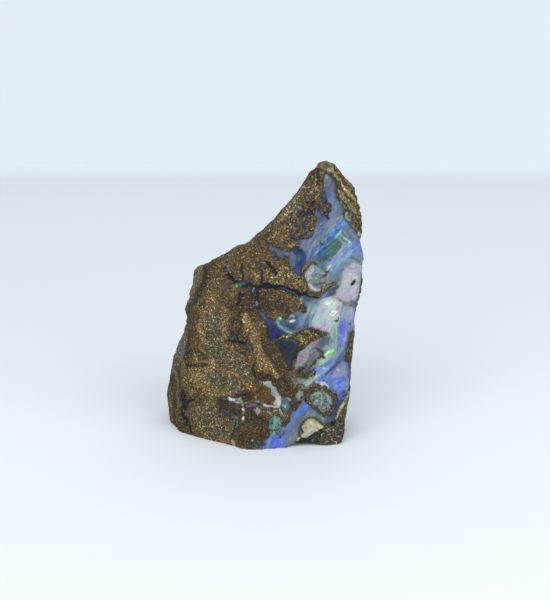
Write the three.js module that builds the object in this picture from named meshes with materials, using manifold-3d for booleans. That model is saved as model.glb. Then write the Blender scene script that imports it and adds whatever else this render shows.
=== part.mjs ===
// A rough boulder opal: one standing lump of ironstone, split on its right front along a seam of
// precious opal and sawn flat underneath. Millimetres, +Z up, -Y is the front, and the origin is
// the middle of the base.
import * as THREE from "three";
import { mergeVertices } from "three/addons/utils/BufferGeometryUtils.js";
import { ImprovedNoise } from "three/addons/math/ImprovedNoise.js";
import Module from "manifold-3d";

// Driving dimensions. The stone is about 41 wide, 24 deep and 60 high.
const FRONT_Y = -12; // the foot of the ridge between the two front faces
const LEAN = THREE.MathUtils.degToRad(20); // the outline's plane leans back, so the top breaks fall away behind
const SWEEP_FRONT = 30; // how far the outline is swept before and behind its plane
const SWEEP_BACK = 60;
const TAPER_POINT = new THREE.Vector3(1.8, 31.5, 350); // the sweep narrows towards this point, far in front
const BLOCK = 160; // the side of a block that cuts everything beyond one facet
const HEART = new THREE.Vector3(0, 0, 20); // a point inside the stone, which every facet faces away from
const LONGEST_EDGES = [8, 5, 3.2]; // the skin is divided in these steps before it is roughened
const SAME_FACET = 0.99999; // the cosine between the normals of two triangles of one facet
const ROUGHNESS = [
  { wave: 9, depth: 0.45 },
  { wave: 3.6, depth: 0.22 },
];

// The outline of the stone on its leaning plane: across, and up from the foot of the ridge.
// It runs from the peak down the right side, along the foot, and up the left side.
const OUTLINE = [
  [12.6, 60.4], [14.1, 59.8], [16.8, 56.9], [18.9, 54.8], [19.6, 54.2], // the peak and the right shoulder
  [20.3, 50.0], [19.7, 44.4], [20.7, 40.6], [19.6, 34.6], [18.6, 30.4], // the opal's outer edge
  [18.5, 25.2], [17.5, 12.2], [16.5, 6.3], [16.8, -4.0], // the lower right side
  [-19.9, -4.0], [-20.0, 4.6], [-20.7, 10.5], [-19.5, 19.9], // the left foot
  [-17.4, 24.4], [-16.7, 27.8], [-17.3, 29.6], [-16.3, 32.0], [-15.4, 36.8], // a small ledge in the left side
  [-14.3, 38.2], [-9.4, 40.9], [-3.8, 43.5], [0.4, 46.4], [3.1, 49.4], // the hollow break above
  [5.9, 52.5], [7.6, 55.9], [9.2, 58.4], [10.6, 59.0], [10.9, 59.9],
];

// Each facet is a plane through three points of the stone's skin. A facet with a reach only cuts
// inside that box, low corner and high corner, so that it leaves the rest of the outline alone.
const FACETS = [
  { name: "opal face", through: [[-3.4, -12, 0], [14.7, -9.6, 0], [12, -4.3, 56]] },
  { name: "ironstone face", through: [[-4.4, -12, 0], [-19.8, -2.4, 0], [-9, -4.4, 36]] },
  { name: "soft ridge between them", through: [[-4.3, -11.7, 0], [5.3, -14.3, 0], [-2.3, -5.9, 40]] },
  {
    name: "left side, upper",
    through: [[-13.2, -0.6, 36.6], [-16.9, -0.2, 21.5], [-16.6, 5.5, 29.5]],
    reach: [[-30, -30, 19], [-9, 30, 70]],
  },
  {
    name: "left side, lower",
    through: [[-16.9, -0.2, 21.5], [-19.3, -2, 0], [-20.6, 5, 11]],
    reach: [[-30, -30, -10], [-9, 30, 21.5]],
  },
  { name: "banded break", through: [[12.2, -3.9, 60], [19.2, -4.5, 43.7], [18.9, 0.6, 54]] },
  {
    name: "bevel of the hollow break",
    through: [[3.2, -5.9, 49.2], [6.6, -5, 54], [5.2, -1.4, 50.5]],
    reach: [[-3, -30, 44], [8.2, -0.5, 56.5]],
  },
  {
    name: "right side",
    through: [[18.4, -5.8, 28], [17.3, -7.8, 12], [18.6, 2, 18]],
    reach: [[10, -30, -10], [40, 30, 31]],
  },
  { name: "back face", through: [[-14, 12, 0], [14, 9.8, 0], [4, 5.2, 50]] },
  { name: "back left", through: [[-22, 8, 0], [-12.5, 12.4, 0], [-12, 6.4, 36]] },
  { name: "back right", through: [[17.5, 3.5, 0], [11.5, 10.4, 0], [17, 2, 45]] },
  { name: "back shoulder", through: [[-16, 5, 38], [1, 4.5, 50], [-6, 11.6, 22]] },
];

const wasm = await Module();
wasm.setup();

// A closed three.js geometry as a solid that can be joined and cut.
function solidOf(geometry) {
  const bare = geometry.index ? geometry.toNonIndexed() : geometry.clone();
  bare.deleteAttribute("normal");
  bare.deleteAttribute("uv");
  const merged = mergeVertices(bare, 1e-4);
  return new wasm.Manifold(
    new wasm.Mesh({
      numProp: 3,
      vertProperties: merged.attributes.position.array,
      triVerts: new Uint32Array(merged.index.array),
    }),
  );
}

// The outline swept through its leaning plane, a little narrower towards the front.
function sweptOutline() {
  const shape = new THREE.Shape(OUTLINE.map(([across, up]) => new THREE.Vector2(across, up)));
  const geometry = new THREE.ExtrudeGeometry(shape, {
    depth: SWEEP_FRONT + SWEEP_BACK,
    bevelEnabled: false,
  });
  geometry.translate(0, 0, -SWEEP_BACK);
  const corners = geometry.attributes.position;
  for (let i = 0; i < corners.count; i++) {
    const narrowing = 1 - corners.getZ(i) / TAPER_POINT.z;
    corners.setX(i, TAPER_POINT.x + (corners.getX(i) - TAPER_POINT.x) * narrowing);
    corners.setY(i, TAPER_POINT.y + (corners.getY(i) - TAPER_POINT.y) * narrowing);
  }
  geometry.rotateX(Math.PI / 2 - LEAN);
  geometry.translate(0, FRONT_Y, 0);
  return solidOf(geometry);
}

// A block that fills everything beyond the plane through point, on the side that normal points to.
function blockBeyond(point, normal) {
  const geometry = new THREE.BoxGeometry(BLOCK, BLOCK, BLOCK);
  geometry.translate(0, 0, BLOCK / 2);
  geometry.applyQuaternion(
    new THREE.Quaternion().setFromUnitVectors(new THREE.Vector3(0, 0, 1), normal),
  );
  geometry.translate(point.x, point.y, point.z);
  return solidOf(geometry);
}

// A box from its low corner to its high corner.
function boxBetween(low, high) {
  const box = new THREE.Box3(new THREE.Vector3(...low), new THREE.Vector3(...high));
  const size = box.getSize(new THREE.Vector3());
  const middle = box.getCenter(new THREE.Vector3());
  return solidOf(new THREE.BoxGeometry(size.x, size.y, size.z).translate(middle.x, middle.y, middle.z));
}

// The outline with every facet and the sawn base cut from it.
function facetedStone() {
  let stone = sweptOutline();
  for (const { through, reach } of FACETS) {
    const [a, b, c] = through.map((corner) => new THREE.Vector3(...corner));
    const plane = new THREE.Plane().setFromCoplanarPoints(a, b, c);
    if (plane.distanceToPoint(HEART) > 0) plane.negate();
    const beyond = blockBeyond(a, plane.normal);
    stone = stone.subtract(reach ? beyond.intersect(boxBetween(...reach)) : beyond);
  }
  return stone.subtract(blockBeyond(new THREE.Vector3(0, 0, 0), new THREE.Vector3(0, 0, -1)));
}

// Halves every edge that is longer than the longest allowed, until none is left.
function divided(points, triangles, longest) {
  let faces = triangles;
  for (let splits = 1; splits > 0; ) {
    const halves = new Map();
    const half = (i, j) => {
      if (points[i].distanceTo(points[j]) <= longest) return null;
      const key = i < j ? `${i},${j}` : `${j},${i}`;
      if (!halves.has(key)) {
        halves.set(key, points.length);
        points.push(points[i].clone().lerp(points[j], 0.5));
      }
      return halves.get(key);
    };
    const next = [];
    for (const [a, b, c] of faces) {
      const [ab, bc, ca] = [half(a, b), half(b, c), half(c, a)];
      const ring = [a, ab, b, bc, c, ca].filter((i) => i !== null);
      next.push(...fanFrom(ring, ab === null ? (bc === null ? ca : bc) : ab));
    }
    splits = halves.size;
    faces = next;
  }
  return faces;
}

// A fan of triangles over a ring of points, from one of them, or from the first where none is given.
function fanFrom(ring, centre) {
  if (ring.length === 6) {
    const [a, ab, b, bc, c, ca] = ring;
    return [[a, ab, ca], [ab, b, bc], [ca, bc, c], [ab, bc, ca]];
  }
  const start = centre === null ? 0 : ring.indexOf(centre);
  const turned = [...ring.slice(start), ...ring.slice(0, start)];
  return turned.slice(2).map((point, i) => [turned[0], turned[i + 1], point]);
}

// Swaps the edge that two triangles of one facet share, wherever that makes both of them rounder.
function rounder(points, faces) {
  const angleAt = (corner, from, to) =>
    points[from].clone().sub(points[corner]).angleTo(points[to].clone().sub(points[corner]));
  const normalOf = (face) => new THREE.Triangle(...face.map((i) => points[i])).getNormal(new THREE.Vector3());
  const owner = new Map();
  const claim = (face, index) => face.forEach((from, i) => owner.set(`${from},${face[(i + 1) % 3]}`, index));
  faces.forEach(claim);
  for (let swaps = 1, pass = 0; swaps > 0 && pass < 40; pass++) {
    swaps = 0;
    for (let one = 0; one < faces.length; one++) {
      for (let i = 0; i < 3; i++) {
        const [a, b, c] = [faces[one][i], faces[one][(i + 1) % 3], faces[one][(i + 2) % 3]];
        const two = owner.get(`${b},${a}`);
        const d = faces[two].find((corner) => corner !== a && corner !== b);
        if (angleAt(c, a, b) + angleAt(d, a, b) < Math.PI + 1e-6) continue;
        const [left, right] = [[a, d, c], [d, b, c]];
        const facet = normalOf(faces[one]);
        if ([faces[two], left, right].some((face) => normalOf(face).dot(facet) < SAME_FACET)) continue;
        if (owner.has(`${c},${d}`) || owner.has(`${d},${c}`)) continue;
        owner.delete(`${a},${b}`);
        owner.delete(`${b},${a}`);
        faces[one] = left;
        faces[two] = right;
        claim(left, one);
        claim(right, two);
        swaps++;
        break;
      }
    }
  }
  return faces;
}

// Moves a point of the skin by smooth noise. The sawn base stays flat.
const noise = new ImprovedNoise();
function roughened(point) {
  const moved = point.clone();
  const flat = point.z < 1e-3;
  for (const { wave, depth } of ROUGHNESS) {
    const [x, y, z] = [point.x / wave + 31.7, point.y / wave + 17.3, point.z / wave + 5.1];
    moved.x += depth * noise.noise(x, y, z);
    moved.y += depth * noise.noise(y + 40.3, z, x);
    moved.z += flat ? 0 : depth * noise.noise(z, x + 71.9, y);
  }
  moved.z = flat ? 0 : Math.max(moved.z, 0.05);
  return moved;
}

function boulderOpal() {
  const { numProp, vertProperties, triVerts } = facetedStone().getMesh();
  const points = [];
  for (let i = 0; i < vertProperties.length; i += numProp) {
    points.push(new THREE.Vector3().fromArray(vertProperties, i));
  }
  const corners = [];
  for (let i = 0; i < triVerts.length; i += 3) corners.push([...triVerts.slice(i, i + 3)]);
  const faces = LONGEST_EDGES.reduce(
    (coarse, longest) => rounder(points, divided(points, coarse, longest)),
    corners,
  );
  const geometry = new THREE.BufferGeometry().setFromPoints(points.map(roughened));
  geometry.setIndex(faces.flat());
  geometry.computeBoundingBox();
  const middle = geometry.boundingBox.getCenter(new THREE.Vector3());
  geometry.translate(-middle.x, -middle.y, 0);
  geometry.computeVertexNormals();
  const ironstone = new THREE.MeshStandardMaterial({ color: 0x5a4630, roughness: 0.85, metalness: 0 });
  const mesh = new THREE.Mesh(geometry, ironstone);
  mesh.name = "boulder_opal";
  return mesh;
}

const stone = new THREE.Group();
stone.add(boulderOpal());

export default stone;
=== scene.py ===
import math

import bpy
import numpy as np
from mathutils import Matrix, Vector


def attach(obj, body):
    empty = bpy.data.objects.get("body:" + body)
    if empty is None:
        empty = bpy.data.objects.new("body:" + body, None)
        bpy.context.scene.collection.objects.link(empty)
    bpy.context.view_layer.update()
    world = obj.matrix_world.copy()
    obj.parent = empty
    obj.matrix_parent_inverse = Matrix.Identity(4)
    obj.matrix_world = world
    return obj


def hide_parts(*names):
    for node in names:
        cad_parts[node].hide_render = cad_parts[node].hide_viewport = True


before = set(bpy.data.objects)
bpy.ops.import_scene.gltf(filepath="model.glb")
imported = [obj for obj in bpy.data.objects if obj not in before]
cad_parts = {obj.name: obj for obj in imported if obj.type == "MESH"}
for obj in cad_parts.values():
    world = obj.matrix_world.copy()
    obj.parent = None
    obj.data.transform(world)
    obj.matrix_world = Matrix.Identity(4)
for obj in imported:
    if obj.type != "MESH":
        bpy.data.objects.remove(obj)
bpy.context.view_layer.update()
bpy.ops.object.select_all(action="DESELECT")

# ---- The stone ------------------------------------------------------------------------------
# One broken lump of sandy ironstone with precious opal in its seams, split on its front faces
# and sawn flat underneath. Its skin is voxelled finely, and finest on the front that shows most.
MM = 0.001
SKIN_VOXEL = 0.42 * MM
LOOK_DOWN = 20
EYE = np.array([2.557, -330.10, 149.33])
SIGHT = np.array([0.0, math.cos(math.radians(LOOK_DOWN)), -math.sin(math.radians(LOOK_DOWN))])
UPWARD = np.array([0.0, math.sin(math.radians(LOOK_DOWN)), math.cos(math.radians(LOOK_DOWN))])
FRONT_FOOT = np.array([0.706, -11.943, 0.0])
FACES_FORWARD = 0.12

cad_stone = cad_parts["boulder_opal"]
stone = bpy.data.objects.new("boulder_opal_stone", cad_stone.data.copy())
bpy.context.collection.objects.link(stone)
stone.data.materials.clear()
bpy.context.view_layer.objects.active = stone
stone.select_set(True)
bpy.ops.object.mode_set(mode="EDIT")
bpy.ops.mesh.select_all(action="SELECT")
bpy.ops.mesh.remove_doubles(threshold=0.002 * MM)
bpy.ops.object.mode_set(mode="OBJECT")
voxels = stone.modifiers.new("voxels", "REMESH")
voxels.mode = "VOXEL"
voxels.voxel_size = SKIN_VOXEL
voxels.use_smooth_shade = True
bpy.ops.object.modifier_apply(modifier="voxels")


def skin_points():
    spots = np.empty(len(stone.data.vertices) * 3)
    stone.data.vertices.foreach_get("co", spots)
    return spots.reshape(-1, 3) / MM


def skin_normals():
    normals = np.empty(len(stone.data.vertices) * 3)
    stone.data.vertex_normals.foreach_get("vector", normals)
    return normals.reshape(-1, 3)


# The faces that look forward are halved once more, so their marks come out crisp.
toward = EYE - skin_points()
toward /= np.linalg.norm(toward, axis=1)[:, None]
forward = np.sum(toward * skin_normals(), axis=1) > FACES_FORWARD
for face in stone.data.polygons:
    face.select = all(forward[corner] for corner in face.vertices)
bpy.ops.object.mode_set(mode="EDIT")
bpy.ops.mesh.select_mode(type="FACE")
bpy.ops.mesh.subdivide(number_cuts=1, smoothness=0)
bpy.ops.object.mode_set(mode="OBJECT")

# The marks are laid on two maps of the stone, front and back, in millimetres across and up.
# A patch fills an outline, a streak follows a line, and fibres and specks are scattered ones.
# Each stuff has its gloss, its grain, how far it stands off the skin in millimetres, how much it is
# held back in the light, and whether it is glass.
STUFFS = {
    "rock": (0.0, 0.85, 0.0, 0.76, 0.0),
    "sand": (0.0, 0.95, 0.10, 0.90, 0.0),
    "beds": (0.0, 0.5, 0.10, 0.88, 0.0),
    "stain": (0.0, 0.8, 0.0, 0.80, 0.0),
    "opal": (1.0, 0.0, -0.16, 1.20, 1.0),
    "potch": (0.6, 0.08, -0.04, 1.04, 1.0),
    "vein": (0.4, 0.45, -0.26, 0.9, 1.0),
    "cream": (0.35, 0.15, 0.12, 1.0, 0.0),
    # glint is for bright points: some are painted highlights, marked where they are laid, and the others are
    # the opal's brightest flashes.
    "glint": (1.0, 0.0, -0.12, 0.90, 1.0),
}


def points_of(text):
    return np.array([[float(number) for number in pair.split()] for pair in text.split(",")])


def colour_of(text):
    return np.array([int(text[i:i + 2], 16) / 255.0 for i in (0, 2, 4)])


def lattice(spots, wave, seed):
    # Smooth noise from -1 to 1 on a lattice of the given wave, flat or solid, the same on each run.
    cell = np.floor(spots / wave).astype(np.int64)
    part = spots / wave - cell
    part = part * part * (3 - 2 * part)
    total = np.zeros(len(spots))
    for corner in range(2 ** spots.shape[1]):
        weight = np.ones(len(spots))
        mixed = np.full(len(spots), seed * 1274126177, dtype=np.int64)
        for axis, prime in zip(range(spots.shape[1]), (374761393, 668265263, 2246822519)):
            step = (corner >> axis) & 1
            weight *= part[:, axis] if step else 1 - part[:, axis]
            mixed += (cell[:, axis] + step) * prime
        mixed &= 0xFFFFFFFF
        mixed = ((mixed ^ (mixed >> 13)) * 1103515245) & 0xFFFFFFFF
        total += weight * (((mixed ^ (mixed >> 16)) & 0xFFFF) / 32767.5 - 1.0)
    return total


def sway(spots, wave, seeds):
    # A lattice for each direction, to bend or push the spots with.
    return np.stack([lattice(spots, wave, seed) for seed in seeds], axis=1)


class MarkMap:
    """The skin's points on one map, with the colour and stuff laid on each of them so far."""

    def __init__(self, across, up, ground):
        count = len(across)
        self.colour = np.tile(colour_of(ground), (count, 1))
        self.stuff = np.tile(np.array(STUFFS["rock"]), (count, 1))
        self.flat = np.stack([across, up], axis=1)
        wobble_x = 0.16 * lattice(self.flat, 0.9, 1) + 0.08 * lattice(self.flat, 0.37, 2)
        wobble_y = 0.16 * lattice(self.flat, 0.9, 3) + 0.08 * lattice(self.flat, 0.37, 4)
        self.wobble = np.stack([wobble_x, wobble_y], axis=1)
        self.random = np.random.default_rng(7)

    def near(self, line, margin):
        low, high = line.min(axis=0) - margin, line.max(axis=0) + margin
        inside = np.all((self.flat > low) & (self.flat < high), axis=1)
        return np.nonzero(inside)[0]

    def lay(self, rows, cover, stuff, colour):
        cover = cover[:, None]
        self.colour[rows] += (colour_of(colour) - self.colour[rows]) * cover
        if stuff:
            self.stuff[rows] += (np.array(STUFFS[stuff]) - self.stuff[rows]) * cover

    def patch(self, stuff, colour, outline, soft=0.3, cover=1.0, ragged=1.0):
        ring = points_of(outline)
        rows = self.near(ring, soft + 0.3)
        if not len(rows):
            return
        spots = self.flat[rows] + self.wobble[rows] * ragged
        away = np.full(len(rows), 1e9)
        inside = np.zeros(len(rows), bool)
        for a, b in zip(ring, np.roll(ring, -1, axis=0)):
            along = b - a
            t = np.clip((spots - a) @ along / max(along @ along, 1e-9), 0, 1)
            away = np.minimum(away, np.hypot(*(spots - a - t[:, None] * along).T))
            crosses = (a[1] > spots[:, 1]) != (b[1] > spots[:, 1])
            rise = b[1] - a[1] if b[1] != a[1] else 1e-9
            inside ^= crosses & (spots[:, 0] < (b[0] - a[0]) * (spots[:, 1] - a[1]) / rise + a[0])
        depth = np.where(inside, away, -away) / soft + 0.5
        depth = np.clip(depth, 0, 1)
        self.lay(rows, depth * depth * (3 - 2 * depth) * cover, stuff, colour)

    def streak(self, stuff, colour, line, wide=0.3, soft=0.25, cover=1.0, ragged=1.0, taper=0.6):
        self.draw(stuff, colour, points_of(line), wide, soft, cover, ragged, taper)

    def patches(self, stuff, *marks):
        # Several patches of one stuff: each has its colour and outline, then soft, cover and ragged.
        for mark in marks:
            self.patch(stuff, *mark)

    def streaks(self, stuff, *marks):
        # Several streaks of one stuff: each has its colour and line, then wide, soft, cover and ragged.
        for mark in marks:
            self.streak(stuff, *mark)

    def draw(self, stuff, colour, path, wide, soft, cover, ragged=0.0, taper=0.6):
        rows = self.near(path, wide + soft)
        if not len(rows):
            return
        spots = self.flat[rows] + self.wobble[rows] * ragged
        lengths = np.hypot(*np.diff(path, axis=0).T)
        total, before = max(lengths.sum(), 1e-9), 0.0
        deep = np.full(len(rows), -1e9)
        for a, b, length in zip(path, path[1:], lengths):
            along = b - a
            t = np.clip((spots - a) @ along / max(along @ along, 1e-9), 0, 1)
            away = np.hypot(*(spots - a - t[:, None] * along).T)
            way = (before + t * length) / total
            half = wide / 2 * (1 - taper + taper * np.sqrt(np.clip(4 * way * (1 - way), 0, 1)))
            deep = np.maximum(deep, half - away)
            before += length
        depth = np.clip(deep / soft + 0.5, 0, 1)
        self.lay(rows, depth * depth * (3 - 2 * depth) * cover, stuff, colour)

    def fibres(self, stuff, colours, line, spread, count, long=2.5, wide=0.14, cover=0.5):
        # Hair-thin streaks that run side by side along a line, in any of the colours.
        path, colours = points_of(line), colours.split()
        lengths = np.concatenate([[0], np.cumsum(np.hypot(*np.diff(path, axis=0).T))])
        for _ in range(count):
            start = self.random.uniform(-0.3 * long, lengths[-1] - 0.5 * long)
            ends = np.clip(start + np.linspace(0, long * self.random.uniform(0.5, 1.3), 5), 0, lengths[-1])
            side = self.random.normal(0, spread / 2)
            bend = self.random.normal(0, 0.12)
            hair = np.stack([np.interp(ends, lengths, path[:, axis]) for axis in (0, 1)], axis=1)
            slope = np.gradient(hair, axis=0)
            slope /= np.maximum(np.hypot(*slope.T), 1e-9)[:, None]
            off = side + bend * np.linspace(-1, 1, 5) ** 2
            hair = hair + off[:, None] * np.stack([-slope[:, 1], slope[:, 0]], axis=1)
            colour = colours[self.random.integers(len(colours))]
            self.draw(stuff, colour, hair, wide * self.random.uniform(0.6, 1.5), 0.12,
                      cover * self.random.uniform(0.4, 1.0), taper=0.9)

    def specks(self, stuff, colours, outline, count, small=0.15, large=0.4, cover=0.9):
        # Grains scattered inside an outline, in any of the colours.
        ring, colours = points_of(outline), colours.split()
        low, high = ring.min(axis=0), ring.max(axis=0)
        placed = 0
        while placed < count:
            spot = self.random.uniform(low, high)
            crossings = 0
            for a, b in zip(ring, np.roll(ring, -1, axis=0)):
                if (a[1] > spot[1]) != (b[1] > spot[1]):
                    crossings += spot[0] < (b[0] - a[0]) * (spot[1] - a[1]) / (b[1] - a[1]) + a[0]
            if crossings % 2 == 0:
                continue
            placed += 1
            size = self.random.uniform(small, large)
            lean = self.random.uniform(-0.5, 0.5, 2) * size
            colour = colours[self.random.integers(len(colours))]
            grain = np.array([spot - lean / 2, spot + lean / 2])
            self.draw(stuff, colour, grain, size, 0.14, cover * self.random.uniform(0.6, 1.0), ragged=0.3)

# The front map: each point of the skin is seen from the eye on a leaning plane through the foot.
spots = skin_points()
normals = skin_normals()
toward = EYE - spots
toward /= np.linalg.norm(toward, axis=1)[:, None]
facing = np.sum(toward * normals, axis=1)
reach = ((FRONT_FOOT - EYE) @ SIGHT) / ((spots - EYE) @ SIGHT)
met = EYE + (spots - EYE) * reach[:, None]
across = met[:, 0] - FRONT_FOOT[0]
up = (met - FRONT_FOOT) @ UPWARD
front = MarkMap(across, up, "5a4b38")

# The ironstone: brown rock with bands and lenses of paler sand, and dark veins between them.
patch, patches, streak, streaks = front.patch, front.patches, front.streak, front.streaks
fibres, specks = front.fibres, front.specks
patches("rock",
    ("51432f", "-16 30, -13 32, -12.6 26, -13 21, -15.8 17, -17 18, -16.6 23", 1.5),
    ("463a2e", "-8 30, -4 34, 1 33, 5 31, 6 27, 2 29, -1 26, -3 28, -5.4 25, -8 26", 2),
    ("473a2c", "-2 25, 1 23, 4 20, 5 15, 8 12, 5 9, 1 13, -1 19", 2),
    ("4b4537", "-20.6 17, -18.4 18, -17.6 14, -17.6 8, -16 4, -20 4, -21 9", 1.2),
)
patch("sand", "6f644a", "-15.4 37.4, -14.2 38.4, -13 38.8, -12.9 37.4, -13.5 35.4, -14.3 33.4, "
      "-15.3 31.7, -16.2 29.8, -17.3 29.7, -16.9 31.3, -16.1 33, -15.5 36", soft=0.5)
streak("rock", "393529", "-12.5 38.6, -12.9 36.5, -13.3 34.6, -14.2 32.9, -15 31.2, -16 29.7, "
       "-16.5 28.3, -16.6 26.8", wide=1.3, soft=0.8, taper=0.3)
streak("sand", "5c5340", "-11.8 38.8, -11.9 36.5, -12.2 34.4, -13 32.4, -14.3 30.6, -15.3 28.6",
       wide=0.7, soft=0.7)
streak("rock", "3c3630", "-13 35.9, -13.7 33.8, -14.6 32.4", wide=0.5, soft=0.4)
patch("sand", "676250", "-16.4 26.9, -17.3 25.2, -18.4 22.7, -19.5 19.3, -20.1 16, -19.1 15, -18.2 18, "
      "-17.4 20.6, -16.9 23, -16.5 25", soft=0.8)
streak("rock", "5a5c60", "-16.9 24.4, -17.1 22.6, -17.5 20.4, -17.7 18.6", wide=0.5, soft=0.5, cover=0.7)
streak("rock", "463626", "-15.9 27, -16.2 23, -16.7 20, -16.9 17.6", wide=0.9, soft=0.8)
# Painted reflection: this pale strip down the lower-left edge stands for the white table's light reflected on
# the undercut facet there.
streak("sand", "857f70", "-20.5 9, -20.3 7.4, -19.9 6, -19.3 4.8, -18.8 4", wide=0.8, soft=0.5)
streak("sand", "6c6146", "-17.7 18.8, -17.5 17, -17.2 15.4, -16.8 14, -16.1 12.9, -15.2 12.1",
       wide=0.9, soft=0.6, taper=0.2)
streak("sand", "63563d", "-15.4 12.1, -13.6 11.3, -12 10.9, -10.4 11, -8.6 11.2", wide=1.1, soft=0.8)
streak("rock", "362e22", "-16.4 18.4, -16.2 16.8, -16 15.4, -15.6 14.1, -14.9 13.2, -13.6 12.5, -12 12, "
       "-10.4 11.6", wide=0.6, soft=0.6)
patches("sand",
    ("79674b", "-11.6 32.7, -10.5 32.3, -10.1 31, -9.2 30.5, -8.2 29.8, -7.8 28.5, -8.2 27.4, -8.6 26.4, "
     "-8.9 25, -8.8 23.6, -8.6 22.7, -7.4 22.1, -6.1 21.3, -5.1 20.5, -4.1 19.4, -3.3 18, -3 16.5, "
     "-2.6 15.2, -2.3 14.1, -2.6 13.3, -3.6 12.7, -5 12.2, -6.4 11.8, -7.5 11.1, -8.4 11.4, -9.6 11.9, "
     "-11 12.2, -12.4 12.5, -13.8 13.1, -15 14, -15.7 15.2, -16 16.5, -15.8 17.4, -14.7 17.4, "
     "-13.4 17.3, -12.3 17.4, -12 18.2, -12.2 19.5, -12.6 21, -13.4 22.5, -13.9 24, -14.1 26, "
     "-13.9 27.6, -13.6 28.7, -13.1 29.6, -12.5 31.2", 0.5),
    ("5f5c48", "-12 29, -9.9 29, -9.5 28, -9.6 26, -9.8 24.6, -9.5 23, -8.4 21.6, -6.8 20.2, -5.2 19, "
     "-4.2 17.4, -3.8 15.8, -4.6 14.2, -6.4 13.5, -8.2 13.2, -9.8 13.9, -10.8 14.9, -11.2 16.4, -11 18, "
     "-11.6 20, -12.3 22.5, -12.6 25, -12.4 27.6", 0.9),
    ("86724e", "-15.5 16.8, -13.4 17, -12.2 16.4, -11.6 14.6, -11.8 12.9, -13.6 13.4, -15 14.4, "
     "-15.6 15.6", 0.9),
)
specks("sand", "a8a68e c4c2ae 98947c 3a372c 34302a b8b49c",
       "-12.3 29.2, -9.8 29.3, -9.4 26, -9.3 23, -6.6 20.6, -4 17.4, -4.2 13.8, -8.2 12.9, -11.3 14.3, "
       "-11.9 18, -13.1 25, -12.8 27.6", 420, small=0.15, large=0.34, cover=0.6)
specks("sand", "a8966c bfae86 98865c 4a3c28 3f3424",
       "-15.4 16.6, -11.9 16.2, -11.8 13, -15 14.4", 70, small=0.15, large=0.34, cover=0.6)
specks("sand", "a8966c bfae86 98865c 4a3c28 3f3424",
       "-15 7.8, -12 10.2, -10 8.6, -7.8 5.4, -7.8 1.8, -12 2.2, -14.3 5.2",
       180, small=0.15, large=0.34, cover=0.6)
specks("sand", "a8966c b4a47c 98865c 4a3c28 3f3424",
       "-4.6 28.8, -3.8 28.4, -2.4 25.4, -0.9 22.2, 0.8 18.6, 2.4 15.4, -1.2 17, -2.2 20, -4.6 25.6",
       130, small=0.15, large=0.32, cover=0.55)
patch("stain", "66502f", "-7.4 16, -5.6 16.2, -4 14.8, -3.2 13.6, -4.6 13, -6.6 13.8", soft=1.2, cover=0.6)
patch("rock", "483a2a", "-13.7 21.2, -12.4 21.3, -12 20.2, -12.3 19, -13.2 18.8, -14 19.6", soft=0.6)
streak("sand", "88774d", "-15 20.3, -14.8 19.4, -14.9 18.6", wide=0.9, soft=0.5)
streaks("rock",
    ("382c1c", "-16.2 17.8, -14.8 17.6, -13.4 17.6, -12 18", 0.35, 0.3),
    ("55452f", "-10 17, -8.6 16.6, -7.2 16", 0.4, 0.5, 0.7),
    ("36312a", "-8.6 20.2, -7 20, -5.6 20.1, -4.8 20.6", 0.35, 0.3),
)
patch("rock", "463c31", "-8.8 24.8, -6 26, -3.9 23.6, -3 21.4, -3.6 20.6, -4.6 20.9, -6 22, -8 22.6",
      soft=0.6)
streaks("vein",
    ("2a2622", "-8.8 23, -7 22.8, -5.6 22.7, -4.3 22.3", 0.35, 0.25),
    ("3a424c", "-7 24.6, -6.5 23.8, -6 23.1", 0.7, 0.4),
    ("464e5a", "-4.2 22.2, -3.5 21.4, -2.9 20.4", 0.7, 0.4),
)
streak("potch", "7c7890", "-3.2 20.7, -2.9 20.4", wide=0.4, soft=0.3)
streak("stain", "774e24", "-3.8 19.9, -3.2 19.2", wide=0.8, soft=0.5, cover=0.8)
patch("sand", "78684a", "-15 7.8, -14.6 9, -13.5 10.1, -12 10.5, -10.5 9.8, -10 8.6, -10.3 7.6, "
      "-9.6 6.8, -8.9 5.9, -7.9 5.6, -7.6 4.4, -7.8 3, -8.1 1.4, -10 1.4, -12 2, -13.2 2.4, -13.6 4, "
      "-14.3 5.2, -15 6.4", soft=0.7)
streak("rock", "574930", "-13.4 6.6, -12 5.2, -11 4", wide=0.7, soft=0.9, cover=0.6)
patch("rock", "423930", "-10.6 9.6, -9.8 11, -8 11, -6.6 10, -5.2 9.2, -5.2 7.6, -6.4 6.9, -8 7.3, "
      "-9.2 8, -10.4 7.8", soft=0.5)
patch("rock", "40362a", "-4.3 9.1, -3 9, -2.2 8.1, -1.6 7.4, -0.2 7.2, 0.8 5.6, 0.6 3.2, -0.4 1.8, "
      "-5.8 1, -6 4, -5.6 6.4", soft=0.5)
streak("rock", "5a4a38", "-5.6 3.4, -4 4.6, -2.2 4.4", wide=1.4, soft=1.2, cover=0.6)
patch("rock", "3b3226", "-6.4 12, -4 12.4, -2.4 12.2, -3 10.4, -4.6 10.2, -6.2 10.6", soft=0.5)
patch("stain", "5c4324", "-3.4 14, -1.6 13.9, 0.1 13.2, 1 12.2, 1.5 10.8, 1.3 9.7, -0.8 9.9, -2.4 11.2, "
      "-3.2 12.6", soft=0.9, cover=0.7)
patch("rock", "3c3024", "-1.8 16.2, 0.2 16.2, 1.6 15.2, 3.4 15, 3 14, 1.4 14.4, -0.4 14.7, -1.6 15",
      soft=0.4)
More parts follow.
